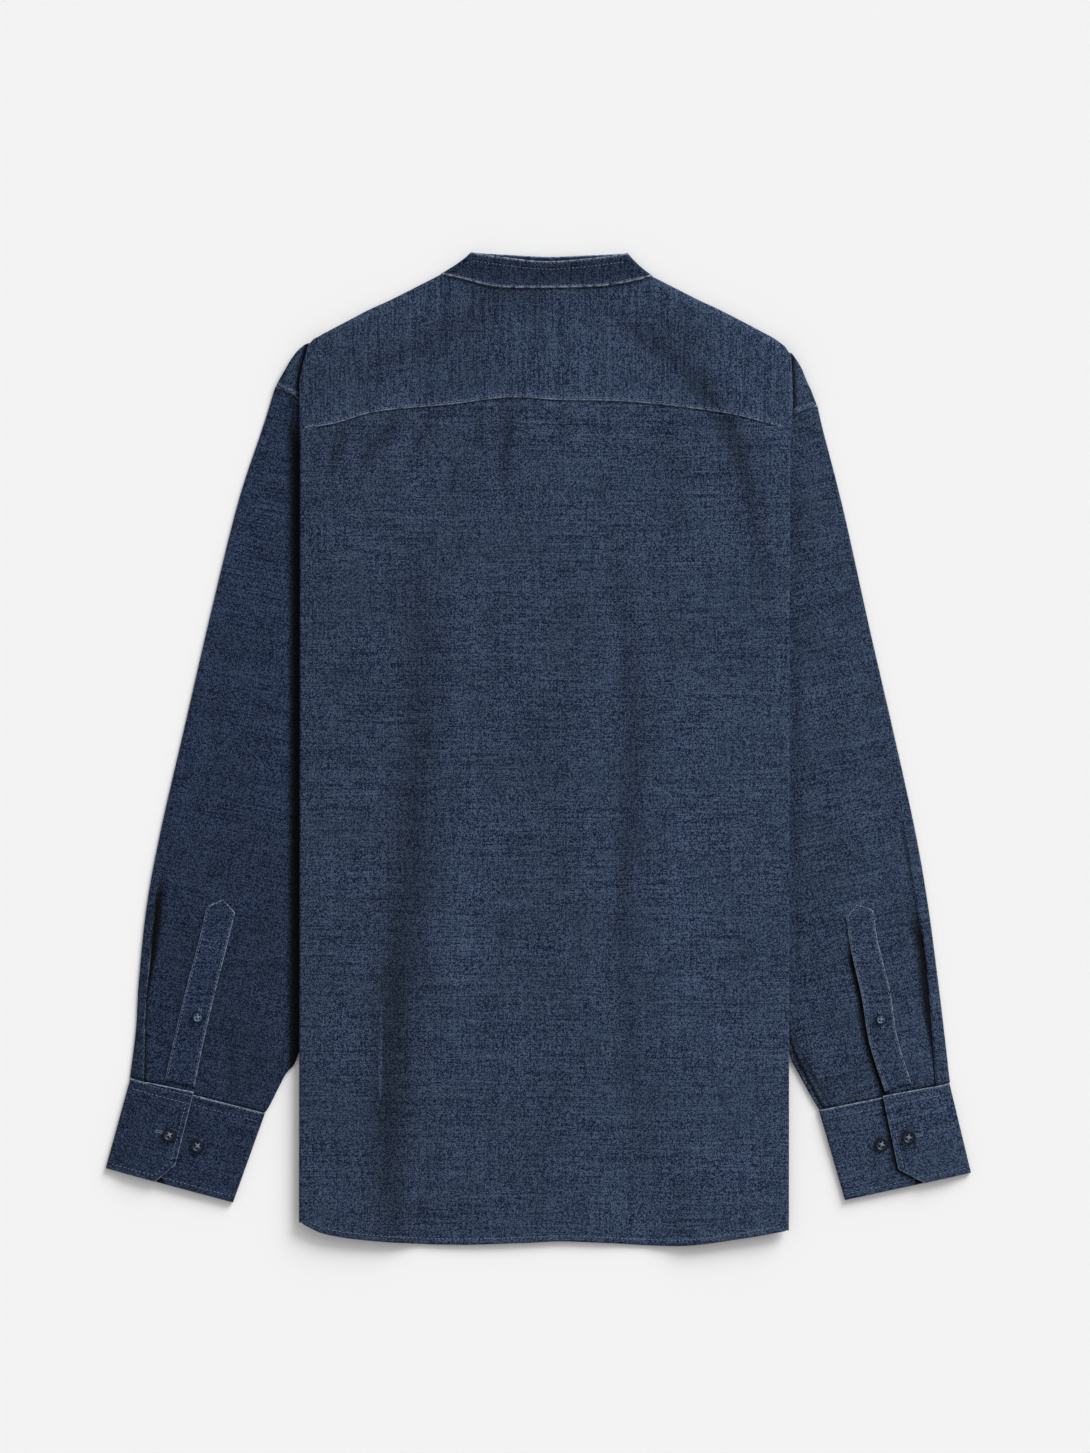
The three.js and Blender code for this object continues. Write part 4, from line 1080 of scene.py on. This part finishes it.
def sleeveHeights(side, own, u, v):
    plan = sleevePlan(side, u, v)
    x = plan[..., 0]
    y = plan[..., 1]
    fromCrease = x - side["crease"](y)
    atHead = ease(646, 672, y)
    down = lerp(emerged(side, x, y), laidDown(side, x, y), atHead)
    lower = lerp(stack["frontTucked"], stack["front"], down)
    crown = np.sin(math.pi * np.clip(u, 0, 1)) ** 0.8
    crown *= lerp(sleeves["beside"](fromCrease), 1, atHead)
    ends = ease(0, 0.12, v) * (1 - 0.45 * ease(0.8, 1, v))
    _, _, groove, strip = pleatShape(own, x, y)
    room = np.minimum(1, crown * 2.5) * ends
    pressed = sum(press(crease, x, y) for crease in own["creases"])
    uneven = ripple(x, y, 21, 60, 0.22) + ripple(x, y, 23, 24, 0.07)
    upper = lower + layer + down * ends * (sleeves["puff"] * crown + 0.4)
    upper += down * ((groove + strip) * np.minimum(1, crown * 4) - pressed * room + uneven * room)
    return plan, lower, upper


def makeSleeve(word):
    side = sides[word]
    own = sleeves[word]
    v = np.concatenate([np.linspace(0, 1, int(570 / sleeves["row"]))])[:, None]
    fine = [0.0005, 0.0015, 0.004, 0.008, 0.013]
    byPleat = np.arange(0.019, 0.13, 0.0065)
    bySeam = [0.938, 0.946, 0.954, 0.962, 0.97, 0.978, 0.986, 0.993]
    upperU = np.concatenate([fine, byPleat, np.linspace(0.13, 0.93, 42), bySeam])
    lowerU = np.concatenate([[0.993, 0.98, 0.95], np.linspace(0.92, 0.04, 30), [0.013, 0.004]])
    u = np.concatenate([upperU, lowerU, upperU[:1]])[None, :]
    grid = np.broadcast_arrays(u, v)
    plan, lower, upper = sleeveHeights(side, own, *grid)
    isUpper = np.arange(u.shape[1]) < len(upperU)
    isUpper[-1] = True
    width = np.hypot(*(side["edges"][1](v[:, 0]) - side["edges"][2](v[:, 0])).T)[:, None]
    fromEdge = np.minimum(u, 1 - u) * width
    bend = np.sqrt(1 - (1 - np.clip(fromEdge / 1.4, 0, 1)) ** 2) / 2
    share = np.where(isUpper, 0.5 + bend, 0.5 - bend)
    z = lerp(lower, upper, share)
    x = side["sign"] * plan[..., 0]
    y = plan[..., 1]
    z -= 0.3 * near(0.006, grid[1]) * isUpper
    along, offset, _, _ = pleatShape(own, plan[..., 0], y)
    toPleat = np.where(isUpper & (along > 0.25), np.abs(offset - 0.5) + 0.55 + 1.4 * (1 - along), far)
    toPleat = np.where(y < 235, toPleat, toPleat + 0.02 * (y - 235))
    lean = math.radians(sleeves["lean"]) * side["sign"]
    grain = (x * math.cos(lean) + y * math.sin(lean), y * math.cos(lean) - x * math.sin(lean))
    fromCrease = plan[..., 0] - side["crease"](y)
    # Painted shadow beside the body's crease and painted shade in the pleat, along the stitched underarm seam,
    # in the creases and beside the placket; the sleeve also gets darker towards the cuff.
    share, full, none = sleeves["paintedCreaseShadow"][word]
    creaseShadow = share * (1 - ease(full, none, fromCrease)) * (1 - 0.5 * ease(640, 668, y))
    groove = pleatDark(own, plan[..., 0], y)
    fromSeam = (1 - grid[0]) * width
    stitched = 0.6 + 0.4 * np.sin(y * 2)
    groove = groove + own["seamShade"] * stitched * near(2.2, np.abs(fromSeam - 4.6)) * ease(196, 184, y)
    groove = groove + sum(press(crease, plan[..., 0], y, dark=True) for crease in own["creases"])
    paintedShading = 1 - isUpper * np.clip(creaseShadow + groove + placketShade(word, plan[..., 0], y), 0, 0.95)
    paintedShading = paintedShading * lerp(sleeves["darkerTowardCuff"][word], 1, ease(150, 560, y))
    toPleat = np.minimum(toPleat, np.where(isUpper, grid[0] * width + 0.6, far))
    name = f"sleeveCloth_{word}"
    material = shirtingMaterials[word]
    return layCloth(name, x, y, z, grain, toPleat, cloth["shown"], material, closed=True, paintedShading=paintedShading)


# The shells that carry others are kept as trees, to find the height of their upper or lower face.
trees = {}


def keepTree(piece):
    mesh = piece.data
    trees[piece.name] = BVHTree.FromPolygons(
        [vertex.co for vertex in mesh.vertices], [polygon.vertices for polygon in mesh.polygons],
    )
    return piece


def faceHeight(name, x, y, fromBelow=False):
    start = Vector((0.001 * x + origin["x"], 0.001 * y + origin["y"], -0.05 if fromBelow else 0.05))
    hit = trees[name].ray_cast(start, Vector((0, 0, 1 if fromBelow else -1)))[0]
    return None if hit is None else 1000 * hit.z


plackets = {
    "thick": 0.8,
    "ground": 3,
    "across": 15,
    "step": 1.6,
    "left": {
        "tip": (257.2, 277),
        "line": [
            (258.8, 269, 11.6), (265.2, 242, 11.4), (275.6, 202, 11.6), (284.4, 165, 11.8), (292, 129.5, 12),
        ],
        "button": (277, 183.2, 5),
        "shade": 0.12,
    },
    "right": {
        "tip": (250, 272.8),
        "line": [(252, 266, 11), (256, 240, 11.2), (265, 202, 11.6), (271, 165, 11.4), (283.4, 125.4, 11)],
        "button": (269.2, 181.6, 4.8),
        "shade": 0.95,
    },
    "cut": (0.024, 0.15),
}


def placketPlan(word):  # centre line and half width, from the tip down
    own = plackets[word]
    rising = own["line"][::-1]
    centre = through(*[(y, x) for x, y, _ in rising])
    half = through(*[(y, w) for _, y, w in rising])
    topX, topY, topHalf = own["line"][0]
    tipX, tipY = own["tip"]
    t = np.linspace(0, 1, 7, endpoint=False)
    y = np.arange(topY, rising[0][1] - 0.1, -plackets["step"])
    x = np.concatenate([lerp(tipX, topX, t), centre(y)])
    w = np.concatenate([lerp(0.4, topHalf, t), half(y)])
    return x, np.concatenate([lerp(tipY, topY, t), y]), w


def makePlacket(word):
    side = sides[word]
    x0, y0, half = placketPlan(word)
    slopeX = np.gradient(x0)
    slopeY = np.gradient(y0)
    length = np.hypot(slopeX, slopeY)
    share = np.linspace(-1, 1, plackets["across"])[None, :]
    x = x0[:, None] - (slopeY / length * half)[:, None] * share
    y = y0[:, None] + (slopeX / length * half)[:, None] * share
    sleeve = f"sleeveCloth_{word}"
    rows = [zip(*row) for row in zip(side["sign"] * x, y)]
    ground = np.array([[faceHeight(sleeve, *place) or plackets["ground"] for place in row] for row in rows])
    fromSide = (1 - np.abs(share)) * half[:, None]
    z = ground + 0.95 + 0.32 * near(2.4, fromSide) - 0.1 * near(1.2, np.abs(fromSide - 2.6))
    z += 0.9 * plackets[word]["shade"] * near(5, (1 + share) * half[:, None]) * ease(252, 225, y)
    grain = (side["sign"] * share * half[:, None] + 3000, y)
    name = f"placketCloth_{word}"
    worn = fromSide + 0.2
    return layCloth(name, side["sign"] * x, y, z, grain, worn, plackets["thick"], shirtingMaterials[word])


# A cuff is a flattened ring whose outer end laps over its inner end, with a cut corner.
cuffs = {
    "lower": cloth["twoPly"] / 2,
    "upper": cloth["twoPly"] / 2 + cloth["twoPly"] + cloth["gap"] + 0.9,
    "underlap": 0.16,
    "crown": 0.8,
    "row": 1.7,
    "left": {
        "outerTop": (331.6, 134.2),
        "innerTop": (223.6, 106.2),
        "outerBottom": (351.3, 62.4),
        "innerBottom": (249.2, 34.9),
        "end": {"top": 0.473, "mitre": 0.5, "bottom": 0.39, "mitreAt": 0.78},
        "buttons": [(299.8, 89.3), (277.4, 80.3)],
        "rise": 2.6,
        "shade": 0.15,
        "paintedShading": 0.88,
    },
    "right": {
        "outerTop": (324.4, 130.2),
        "innerTop": (219.6, 108.6),
        "outerBottom": (341.6, 58.8),
        "innerBottom": (240.4, 36.8),
        "end": {"top": 0.513, "mitre": 0.54, "bottom": 0.37, "mitreAt": 0.8},
        "buttons": [(291.2, 87.2), (269.8, 81.3)],
        "rise": 1.2,
        "shade": 0.95,
        "paintedShading": 1.06,
    },
    "cut": (0.25, 0.075),
}


def cuffPlan(own, a, b):
    top = lerp(np.array(own["outerTop"]), np.array(own["innerTop"]), np.asarray(a)[..., None])
    bottom = lerp(np.array(own["outerBottom"]), np.array(own["innerBottom"]), np.asarray(a)[..., None])
    return lerp(top, bottom, np.asarray(b)[..., None])


def cuffEnd(own, b):
    end = own["end"]
    straight = lerp(end["top"], end["mitre"], b / end["mitreAt"])
    cut = lerp(end["mitre"], end["bottom"], (b - end["mitreAt"]) / (1 - end["mitreAt"]))
    return np.where(b < end["mitreAt"], straight, cut)


def makeCuff(word):
    side = sides[word]
    own = cuffs[word]
    width = np.hypot(*np.subtract(own["innerTop"], own["outerTop"]))
    half = (cuffs["upper"] - cuffs["lower"]) / 2
    middle = (cuffs["upper"] + cuffs["lower"]) / 2
    inset = (half + cloth["twoPly"] / 2) / width
    b = stations(72, cuffs["row"], 0.9, 4)[:, None]
    end = cuffEnd(own, b)
    arc = np.linspace(-math.pi / 2, math.pi / 2, 11)[1:-1]
    one = np.ones_like(b)
    lapStart = own["end"]["bottom"] - cuffs["underlap"] - 0.04
    columns = []

    def put(a, z, toEnd, isUnder=0.0):
        columns.append(np.broadcast_arrays(a * one, z * one, toEnd * one, isUnder * one))

    def crown(a):
        return cuffs["crown"] * np.sin(math.pi * a)

    a = lerp(end, inset, np.linspace(0, 1, 46) ** 1.15)
    lap = (cloth["twoPly"] + cloth["gap"]) * ease(lapStart - 0.14, lapStart, a)
    put(a, cuffs["upper"] + crown(a) + lap, (end - a) * width)
    put(inset - half * np.cos(arc) / width, middle - half * np.sin(arc), far)
    a = np.linspace(inset, 1 - inset, 28)
    put(a, cuffs["lower"], far)
    put(1 - inset + half * np.cos(arc) / width, middle + half * np.sin(arc), far)
    a = lerp(1 - inset, own["end"]["bottom"] - cuffs["underlap"], np.linspace(0, 1, 40))
    put(a, cuffs["upper"] + crown(a), far, 1.0)
    a, z, toEnd, isUnder = (np.hstack(part) for part in zip(*columns))
    plan = cuffPlan(own, a, b)
    height = np.hypot(*np.subtract(own["outerTop"], own["outerBottom"]))
    toTop = b * height * np.ones_like(a)
    toBottom = (1 - b) * height * np.ones_like(a)
    isUpper = z > middle + half * 0.6
    mitred = toEnd * np.where(b > own["end"]["mitreAt"], 0.72, 1)
    z += isUpper * (0.3 * near(2.6, toTop) + 0.18 * near(2.2, toBottom) + 0.25 * near(2.6, mitred))
    sewn = near(1.1, np.abs(toTop - 7.6)) + near(1.1, np.abs(toBottom - 4.6)) + near(1.1, np.abs(mitred - 4.4))
    z -= isUpper * 0.14 * sewn
    z += isUpper * ripple(plan[..., 0], plan[..., 1], 31, 40, 0.08)
    edge = np.minimum(np.minimum(toTop, mitred + 0.25), toBottom + 0.55)
    x = side["sign"] * plan[..., 0]
    y = plan[..., 1] - cloth["gap"]
    y += own["rise"] * np.clip(a / own["end"]["top"], 0, 1) * (1 - b) * (toEnd < far - 1)
    # Painted shadow on the underlap beside the overlap's raised end and in the gap at the mitred corner; the
    # cuff's own paintedShading factor makes the left cuff a shaded copy and the right one a lit copy.
    beyond = (a - end) * width
    inGap = ease(-0.6, 0.8, 5.6 - toBottom - 0.6 * beyond) * (beyond > -2)
    paintedShading = 1 - isUnder * np.clip(own["shade"] * near(6, np.maximum(beyond, 0)) + 0.9 * inGap, 0, 0.95)
    paintedShading = paintedShading * own["paintedShading"]
    grain = (acrossRows(x, z, 0) + 3300 * side["sign"], toTop)
    name = f"cuffCloth_{word}"
    material = shirtingMaterials[word]
    return layCloth(name, x, y, z, grain, edge, cloth["shownTwoPly"], material, paintedShading=paintedShading)


# Dress one piece: what it replaces and where it rides.
def dress(piece, nodes, cut=None, area=None):
    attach(piece, "root")
    if nodes:
        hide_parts(*nodes)
    return piece


frontPieces = ["frontCloth_left", "frontCloth_right"]
keepTree(makeFront(sides["left"], frontPieces[0], bandUnder))
keepTree(makeFront(sides["right"], frontPieces[1], bandOver))
keepTree(makeBack())
keepTree(makeYoke())
keepTree(makeBand())
for word in sides:
    keepTree(makeSleeve(word))
    keepTree(makePlacket(word))
    keepTree(makeCuff(word))
shown = bpy.data.objects


# Stitches: small bent-down ends of thread along a path that lies on a piece.
sewing = {"long": 2.3, "wide": 0.42, "high": 0.3, "space": 0.75}


def sewAlong(bm, name, path, chance, long=None, fromBelow=False, lift=0.0, thickness=None):
    path = np.asarray(path, float)
    step = np.hypot(*np.diff(path, axis=0).T)
    length = np.concatenate([[0], np.cumsum(step)])
    long = long or sewing["long"]
    pitch = long + sewing["space"]
    half = (thickness or cloth["shown"]) / 2
    count = max(int(length[-1] / pitch), 1)
    for i in range(count):
        middle = (i + 0.5) * length[-1] / count
        ends = []
        for s in (middle - long / 2, middle + long / 2):
            x = np.interp(s, length, path[:, 0])
            y = np.interp(s, length, path[:, 1])
            z = faceHeight(name, x, y, fromBelow)
            if z is None:
                break
            z += -half - lift if fromBelow else half + lift
            ends.append(Vector((0.001 * x + origin["x"], 0.001 * y + origin["y"], 0.001 * z)))
        if len(ends) < 2:
            continue
        along = ends[1] - ends[0]
        turn = along.to_track_quat("X", "Z").to_matrix().to_4x4()
        sway = Matrix.Rotation(math.radians(chance.uniform(-4, 4)), 4, "Z")
        size = (0.0005 * long * chance.uniform(0.9, 1.06), 0.0005 * sewing["wide"], 0.0005 * sewing["high"])
        place = Matrix.Translation((ends[0] + ends[1]) / 2) @ turn @ sway @ Matrix.Diagonal((*size, 1))
        bmesh.ops.create_icosphere(bm, subdivisions=1, radius=1, matrix=place)


def finishThread(name, bm):
    for face in bm.faces:
        face.smooth = True
    mesh = meshOf(name, bm)
    mesh.materials.append(threadMaterial)
    return dress(addObject(name, mesh), [])


def stitch(name, carrier, paths, seed, **options):
    bm = bmesh.new()
    for path in paths:
        line = bmesh.new()
        sewAlong(line, carrier, path, random.Random(seed + len(bm.verts)), **options)
        mesh = meshOf("line", line)
        bm.from_mesh(mesh)
        bpy.data.meshes.remove(mesh)
    return finishThread(name, bm)


def lineOf(curve, low, high, shift=0.0, count=120):
    x = np.linspace(low, high, count)
    return np.stack([x, curve(x) + shift], -1)


def sewBody():
    stitch("stitches_yoke", "yokeCloth", [lineOf(yokeSeam, -190, 190, 1.7)], 1)
    hemLine = lineOf(hem, -188, 188, 4.6)
    stitch("stitches_hem", "backCloth", [hemLine], 2)
    two = {"thickness": cloth["shownTwoPly"]}
    neckLine = lineOf(neckSeam, -76, 79, 1.5)
    topLine = lineOf(bandBackTop, -55, 62, -1.6)
    lowLine = lineOf(bandBackTop, -58, 64, -6.4)
    stitch("stitches_band", "bandCloth", [neckLine, topLine, lowLine], 3, **two)


def sewFronts():
    for piece, side in zip(frontPieces, sides.values()):
        paths = []
        for x in (-14.5, 14.5):
            y = np.linspace(28, 748, 60)
            paths.append(np.stack([np.full(60, x * side["sign"]), y], -1))
        x = side["sign"] * np.linspace(-14, 184, 60)
        paths.append(np.stack([x, hem(x) + fronts["rise"] + 4.6], -1))
        stitch(piece.replace("frontCloth", "stitches_front"), piece, paths, 5, fromBelow=True)


def sewSleeves():
    for word, side in sides.items():
        sign = side["sign"]
        x0, y0, half = placketPlan(word)
        slopeX = np.gradient(x0)
        slopeY = np.gradient(y0)
        length = np.hypot(slopeX, slopeY)
        paths = []
        for share in (-1, 1):
            inset = np.maximum(half - 1.5, 0.1) * share
            x = sign * (x0 - slopeY / length * inset)
            paths.append(np.stack([x, y0 + slopeX / length * inset], -1)[1:-1])
        for down in (30, 34.5):
            i = int(np.argmin(np.abs(y0 - (y0[0] - down - 4))))
            reach = np.linspace(-half[i] + 1.6, half[i] - 1.6, 8)
            x = sign * (x0[i] - slopeY[i] / length[i] * reach)
            paths.append(np.stack([x, y0[i] + slopeX[i] / length[i] * reach], -1))
        stitch(f"stitches_placket_{word}", f"placketCloth_{word}", paths, 7, thickness=plackets["thick"])
        own = cuffs[word]
        width = np.hypot(*np.subtract(own["innerTop"], own["outerTop"]))
        height = np.hypot(*np.subtract(own["outerTop"], own["outerBottom"]))
        flip = np.array([sign, 1])
        drop = np.array([0, -cloth["gap"]])
        paths = []
        for down in (1.4, 7.6):
            b = np.full(30, down / height)
            outerPart = np.linspace(0.03, cuffEnd(own, b[0]) - 1.6 / width, 30)
            innerPart = np.linspace(cuffEnd(own, b[0]) + 1.6 / width, 0.97, 30)
            paths.append(cuffPlan(own, outerPart, b) * flip + drop)
            paths.append(cuffPlan(own, innerPart, b) * flip + drop)
        b = np.linspace(7.6 / height, own["end"]["mitreAt"], 20)
        paths.append(cuffPlan(own, cuffEnd(own, b) - 4.4 / width, b) * flip + drop)
        b = np.linspace(own["end"]["mitreAt"], 1 - 4.6 / height, 10)
        paths.append(cuffPlan(own, cuffEnd(own, b) - 6.0 / width, b) * flip + drop)
        low = np.full(30, 1 - 4.6 / height)
        paths.append(cuffPlan(own, np.linspace(0.03, own["end"]["bottom"] - 0.02, 30), low) * flip + drop)
        paths.append(cuffPlan(own, np.linspace(own["end"]["bottom"] + 0.03, 0.97, 30), low) * flip + drop)
        stitch(f"stitches_cuff_{word}", f"cuffCloth_{word}", paths, 8, thickness=cloth["shownTwoPly"])


sewBody()
sewFronts()
sewSleeves()
print("stitched")


# Buttons: a turned disc with a raised rim, a dish and four holes, crossed with thread.
buttons = {
    "profile": [
        (0, 0), (0.78, 0), (0.93, 0.12), (1, 0.42), (0.985, 0.72), (0.93, 0.93), (0.85, 1), (0.76, 0.97),
        (0.68, 0.86), (0.6, 0.7), (0.5, 0.62), (0.3, 0.6), (0, 0.6),
    ],
    "floor": 0.5,
    "hole": 0.17,
    "holeAt": 0.37,
    "steps": 40,
}


def turnButton(name, radius, thickness):
    bm = bmesh.new()
    rim = [bm.verts.new((radius * r, 0, thickness * h)) for r, h in buttons["profile"]]
    edges = [bm.edges.new(pair) for pair in zip(rim, rim[1:])]
    bmesh.ops.spin(
        bm, geom=rim + edges, cent=(0, 0, 0), axis=(0, 0, 1), angle=math.tau,
        steps=buttons["steps"], use_merge=True,
    )
    bmesh.ops.remove_doubles(bm, verts=bm.verts, dist=1e-6)
    bmesh.ops.recalc_face_normals(bm, faces=bm.faces)
    for face in bm.faces:
        face.smooth = True
    mesh = meshOf(name, bm)
    drill = bmesh.new()
    hole = radius * buttons["hole"]
    for quarter in range(4):
        angle = (quarter + 0.5) * math.pi / 2
        x = radius * buttons["holeAt"] * math.cos(angle)
        y = radius * buttons["holeAt"] * math.sin(angle)
        place = Matrix.Translation((x, y, thickness * 0.6))
        bmesh.ops.create_cone(
            drill, cap_ends=True, segments=14, radius1=hole, radius2=hole,
            depth=thickness * 0.9, matrix=place,
        )
    disc = addObject(name, mesh)
    cutter = addObject("drill", meshOf("drill", drill))
    holes = disc.modifiers.new("holes", "BOOLEAN")
    holes.operation = "DIFFERENCE"
    holes.solver = "EXACT"
    holes.object = cutter
    view = bpy.context.evaluated_depsgraph_get()
    drilled = bpy.data.meshes.new_from_object(disc.evaluated_get(view))
    bpy.data.objects.remove(disc)
    bpy.data.objects.remove(cutter)
    return drilled


discs = {}


def placeButton(node, material, turn, faceDown=False):
    low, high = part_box(node)
    radius = (high.x - low.x) / 2
    thickness = high.z - low.z
    key = (round(radius * 1e5), round(thickness * 1e5))
    if key not in discs:
        discs[key] = turnButton("disc", radius, thickness)
    mesh = discs[key].copy()
    mesh.name = node + "_disc"
    mesh.materials.clear()
    mesh.materials.append(material)
    middle = Vector(((low.x + high.x) / 2, (low.y + high.y) / 2, high.z if faceDown else low.z))
    flip = Matrix.Rotation(math.pi if faceDown else 0, 4, "X")
    place = Matrix.Translation(middle) @ flip @ Matrix.Rotation(math.radians(turn), 4, "Z")
    reach = np.array([math.hypot(v.co.x, v.co.y) / radius for v in mesh.vertices])
    height = np.array([v.co.z / thickness for v in mesh.vertices])
    centre = np.where(height > buttons["floor"], 1 - ease(0.56, 0.7, reach), -2)
    mesh.attributes.new("centre", "FLOAT", "POINT").data.foreach_set("value", centre)
    mesh.transform(place)
    dress(addObject(node + "_disc", mesh), [node])
    bm = bmesh.new()
    for quarter in (0, 1):
        for shift in (-0.06, 0.06):
            size = (radius * buttons["holeAt"] * 1.2, radius * 0.06, radius * 0.06)
            bar = Matrix.Rotation(quarter * math.pi / 2, 4, "Z") @ Matrix.Translation((0, shift * radius, 0))
            lift = Matrix.Translation((0, 0, thickness * 0.62 + radius * 0.03 * (1 + quarter)))
            bmesh.ops.create_icosphere(
                bm, subdivisions=2, radius=1, matrix=place @ lift @ bar @ Matrix.Diagonal((*size, 1)),
            )
    finishThread(node + "_thread", bm)


def makeButtons():
    chance = random.Random(12)
    for word in sides:
        for i in (1, 2):
            placeButton(f"cuff_button_{word}_{i}", buttonMaterials["cuff"], chance.uniform(-20, 70))
        placeButton(f"placket_button_{word}", buttonMaterials["placket"], chance.uniform(-20, 20))
    for i in range(1, 8):
        placeButton(f"front_button_{i}", buttonMaterials["cuff"], chance.uniform(0, 90), faceDown=True)
    placeButton("neck_button", buttonMaterials["cuff"], 45, faceDown=True)


makeButtons()
print("buttons placed")


# Buttonholes: a slit with close stitches down both sides.
buttonholes = {"length": 14, "pitch": 0.55, "long": 1.25}


def sewButtonhole(name, carrier, centre, direction, fromBelow=False, thickness=None):
    bm = bmesh.new()
    chance = random.Random(len(name))
    along = np.array([math.cos(direction), math.sin(direction)])
    side = np.array([-along[1], along[0]])
    reach = buttonholes["length"] / 2
    for share in (-1, 1):
        for s in np.arange(-reach, reach, buttonholes["pitch"]):
            begin = np.array(centre) + along * s + side * share * 0.15
            end = begin + side * share * buttonholes["long"]
            sewAlong(
                bm, carrier, [begin, end], chance, long=buttonholes["long"], fromBelow=fromBelow,
                thickness=thickness,
            )
    return finishThread(name, bm)


def sewButtonholes():
    for word, side in sides.items():
        own = cuffs[word]
        across = np.subtract(own["outerTop"], own["innerTop"])
        direction = math.atan2(across[1], side["sign"] * across[0])
        bx, by = own["buttons"][0]
        step = across / np.hypot(*across) * 4.5
        centre = (side["sign"] * (bx + step[0]), by + step[1])
        sewButtonhole(
            f"buttonhole_cuff_{word}", f"cuffCloth_{word}", centre, direction,
            thickness=cloth["shownTwoPly"],
        )
        px, py, _ = plackets[word]["button"]
        line = plackets[word]["line"]
        lean = math.atan2(line[1][1] - line[3][1], side["sign"] * (line[1][0] - line[3][0]))
        sewButtonhole(
            f"buttonhole_placket_{word}", f"placketCloth_{word}", (side["sign"] * px, py), lean,
            thickness=plackets["thick"],
        )
    for i in range(7):
        name = f"buttonhole_front_{i + 1}"
        sewButtonhole(name, "frontCloth_left", (0, 708 - 92 * i), math.pi / 2, fromBelow=True)


sewButtonholes()
print("buttonholes sewn")

firstFront, secondFront = frontPieces
firstArea, secondArea = fronts["area"]
dress(shown["yokeCloth"], ["yoke"], yoke["cut"], yoke["area"])
dress(shown["backCloth"], ["back_panel"], back["cut"], back["area"])
dress(shown[firstFront], ["front_left"], fronts["cut"], firstArea)
dress(shown[secondFront], ["front_right"], fronts["cut"], secondArea)
dress(shown["bandCloth"], ["collar_band"], band["cut"], band["area"])
for word in sides:
    sleeve = f"sleeveCloth_{word}"
    placket = f"placketCloth_{word}"
    cuff = f"cuffCloth_{word}"
    dress(shown[sleeve], [f"sleeve_{word}"], sleeves[word]["cut"], sleeves["area"])
    dress(shown[placket], [f"placket_{word}"], plackets["cut"], None)
    dress(shown[cuff], [f"cuff_{word}"], cuffs["cut"], None)
print("cloth dressed")

# The floor, the light and the camera, straight above as the photograph is taken.
stage = {
    "floor": 10.0,
    "paper": (0.9, 0.9, 0.9, 1),
    "fill": 0.49,
    "lights": {
        "window": {"power": 2.8, "from": (0.5, 0.74, 0.43), "angle": 30},
        "sky": {"power": 0.88, "from": (0.5, 0.75, 0.42), "angle": 70},
    },
    "lens": 120,
    "tall": 1.1624,
    "centre": (0.0053, 0.0178),
}


def setStage():
    bm = bmesh.new()
    bmesh.ops.create_grid(bm, x_segments=4, y_segments=4, size=stage["floor"] / 2)
    mesh = meshOf("floor", bm)
    floor = addObject("floor", mesh)
    material, _, shader = newMaterial("paper")
    shader.inputs["Base Color"].default_value = stage["paper"]
    shader.inputs["Roughness"].default_value = 1
    shader.inputs["Specular IOR Level"].default_value = 0
    mesh.materials.append(material)
    world = bpy.data.worlds.new("studio")
    world.use_nodes = True
    world.node_tree.nodes["Background"].inputs[0].default_value = (1, 1, 1, 1)
    world.node_tree.nodes["Background"].inputs[1].default_value = stage["fill"]
    bpy.context.scene.world = world
    for name, own in stage["lights"].items():
        lamp = bpy.data.lights.new(name, "SUN")
        lamp.energy = own["power"]
        lamp.angle = math.radians(own["angle"])
        turn = Vector(own["from"]).to_track_quat("Z", "Y").to_euler()
        addObject(name, lamp).rotation_euler = turn
    lens = bpy.data.cameras.new("camera")
    lens.lens = stage["lens"]
    lens.sensor_fit = "VERTICAL"
    lens.sensor_height = 36
    lens.clip_end = 40
    camera = addObject("camera", lens)
    camera.location = (*stage["centre"], stage["lens"] / 36 * stage["tall"] + 0.005)
    bpy.context.scene.camera = camera
    bpy.context.scene.view_settings.view_transform = "Standard"


setStage()
print("stage set")
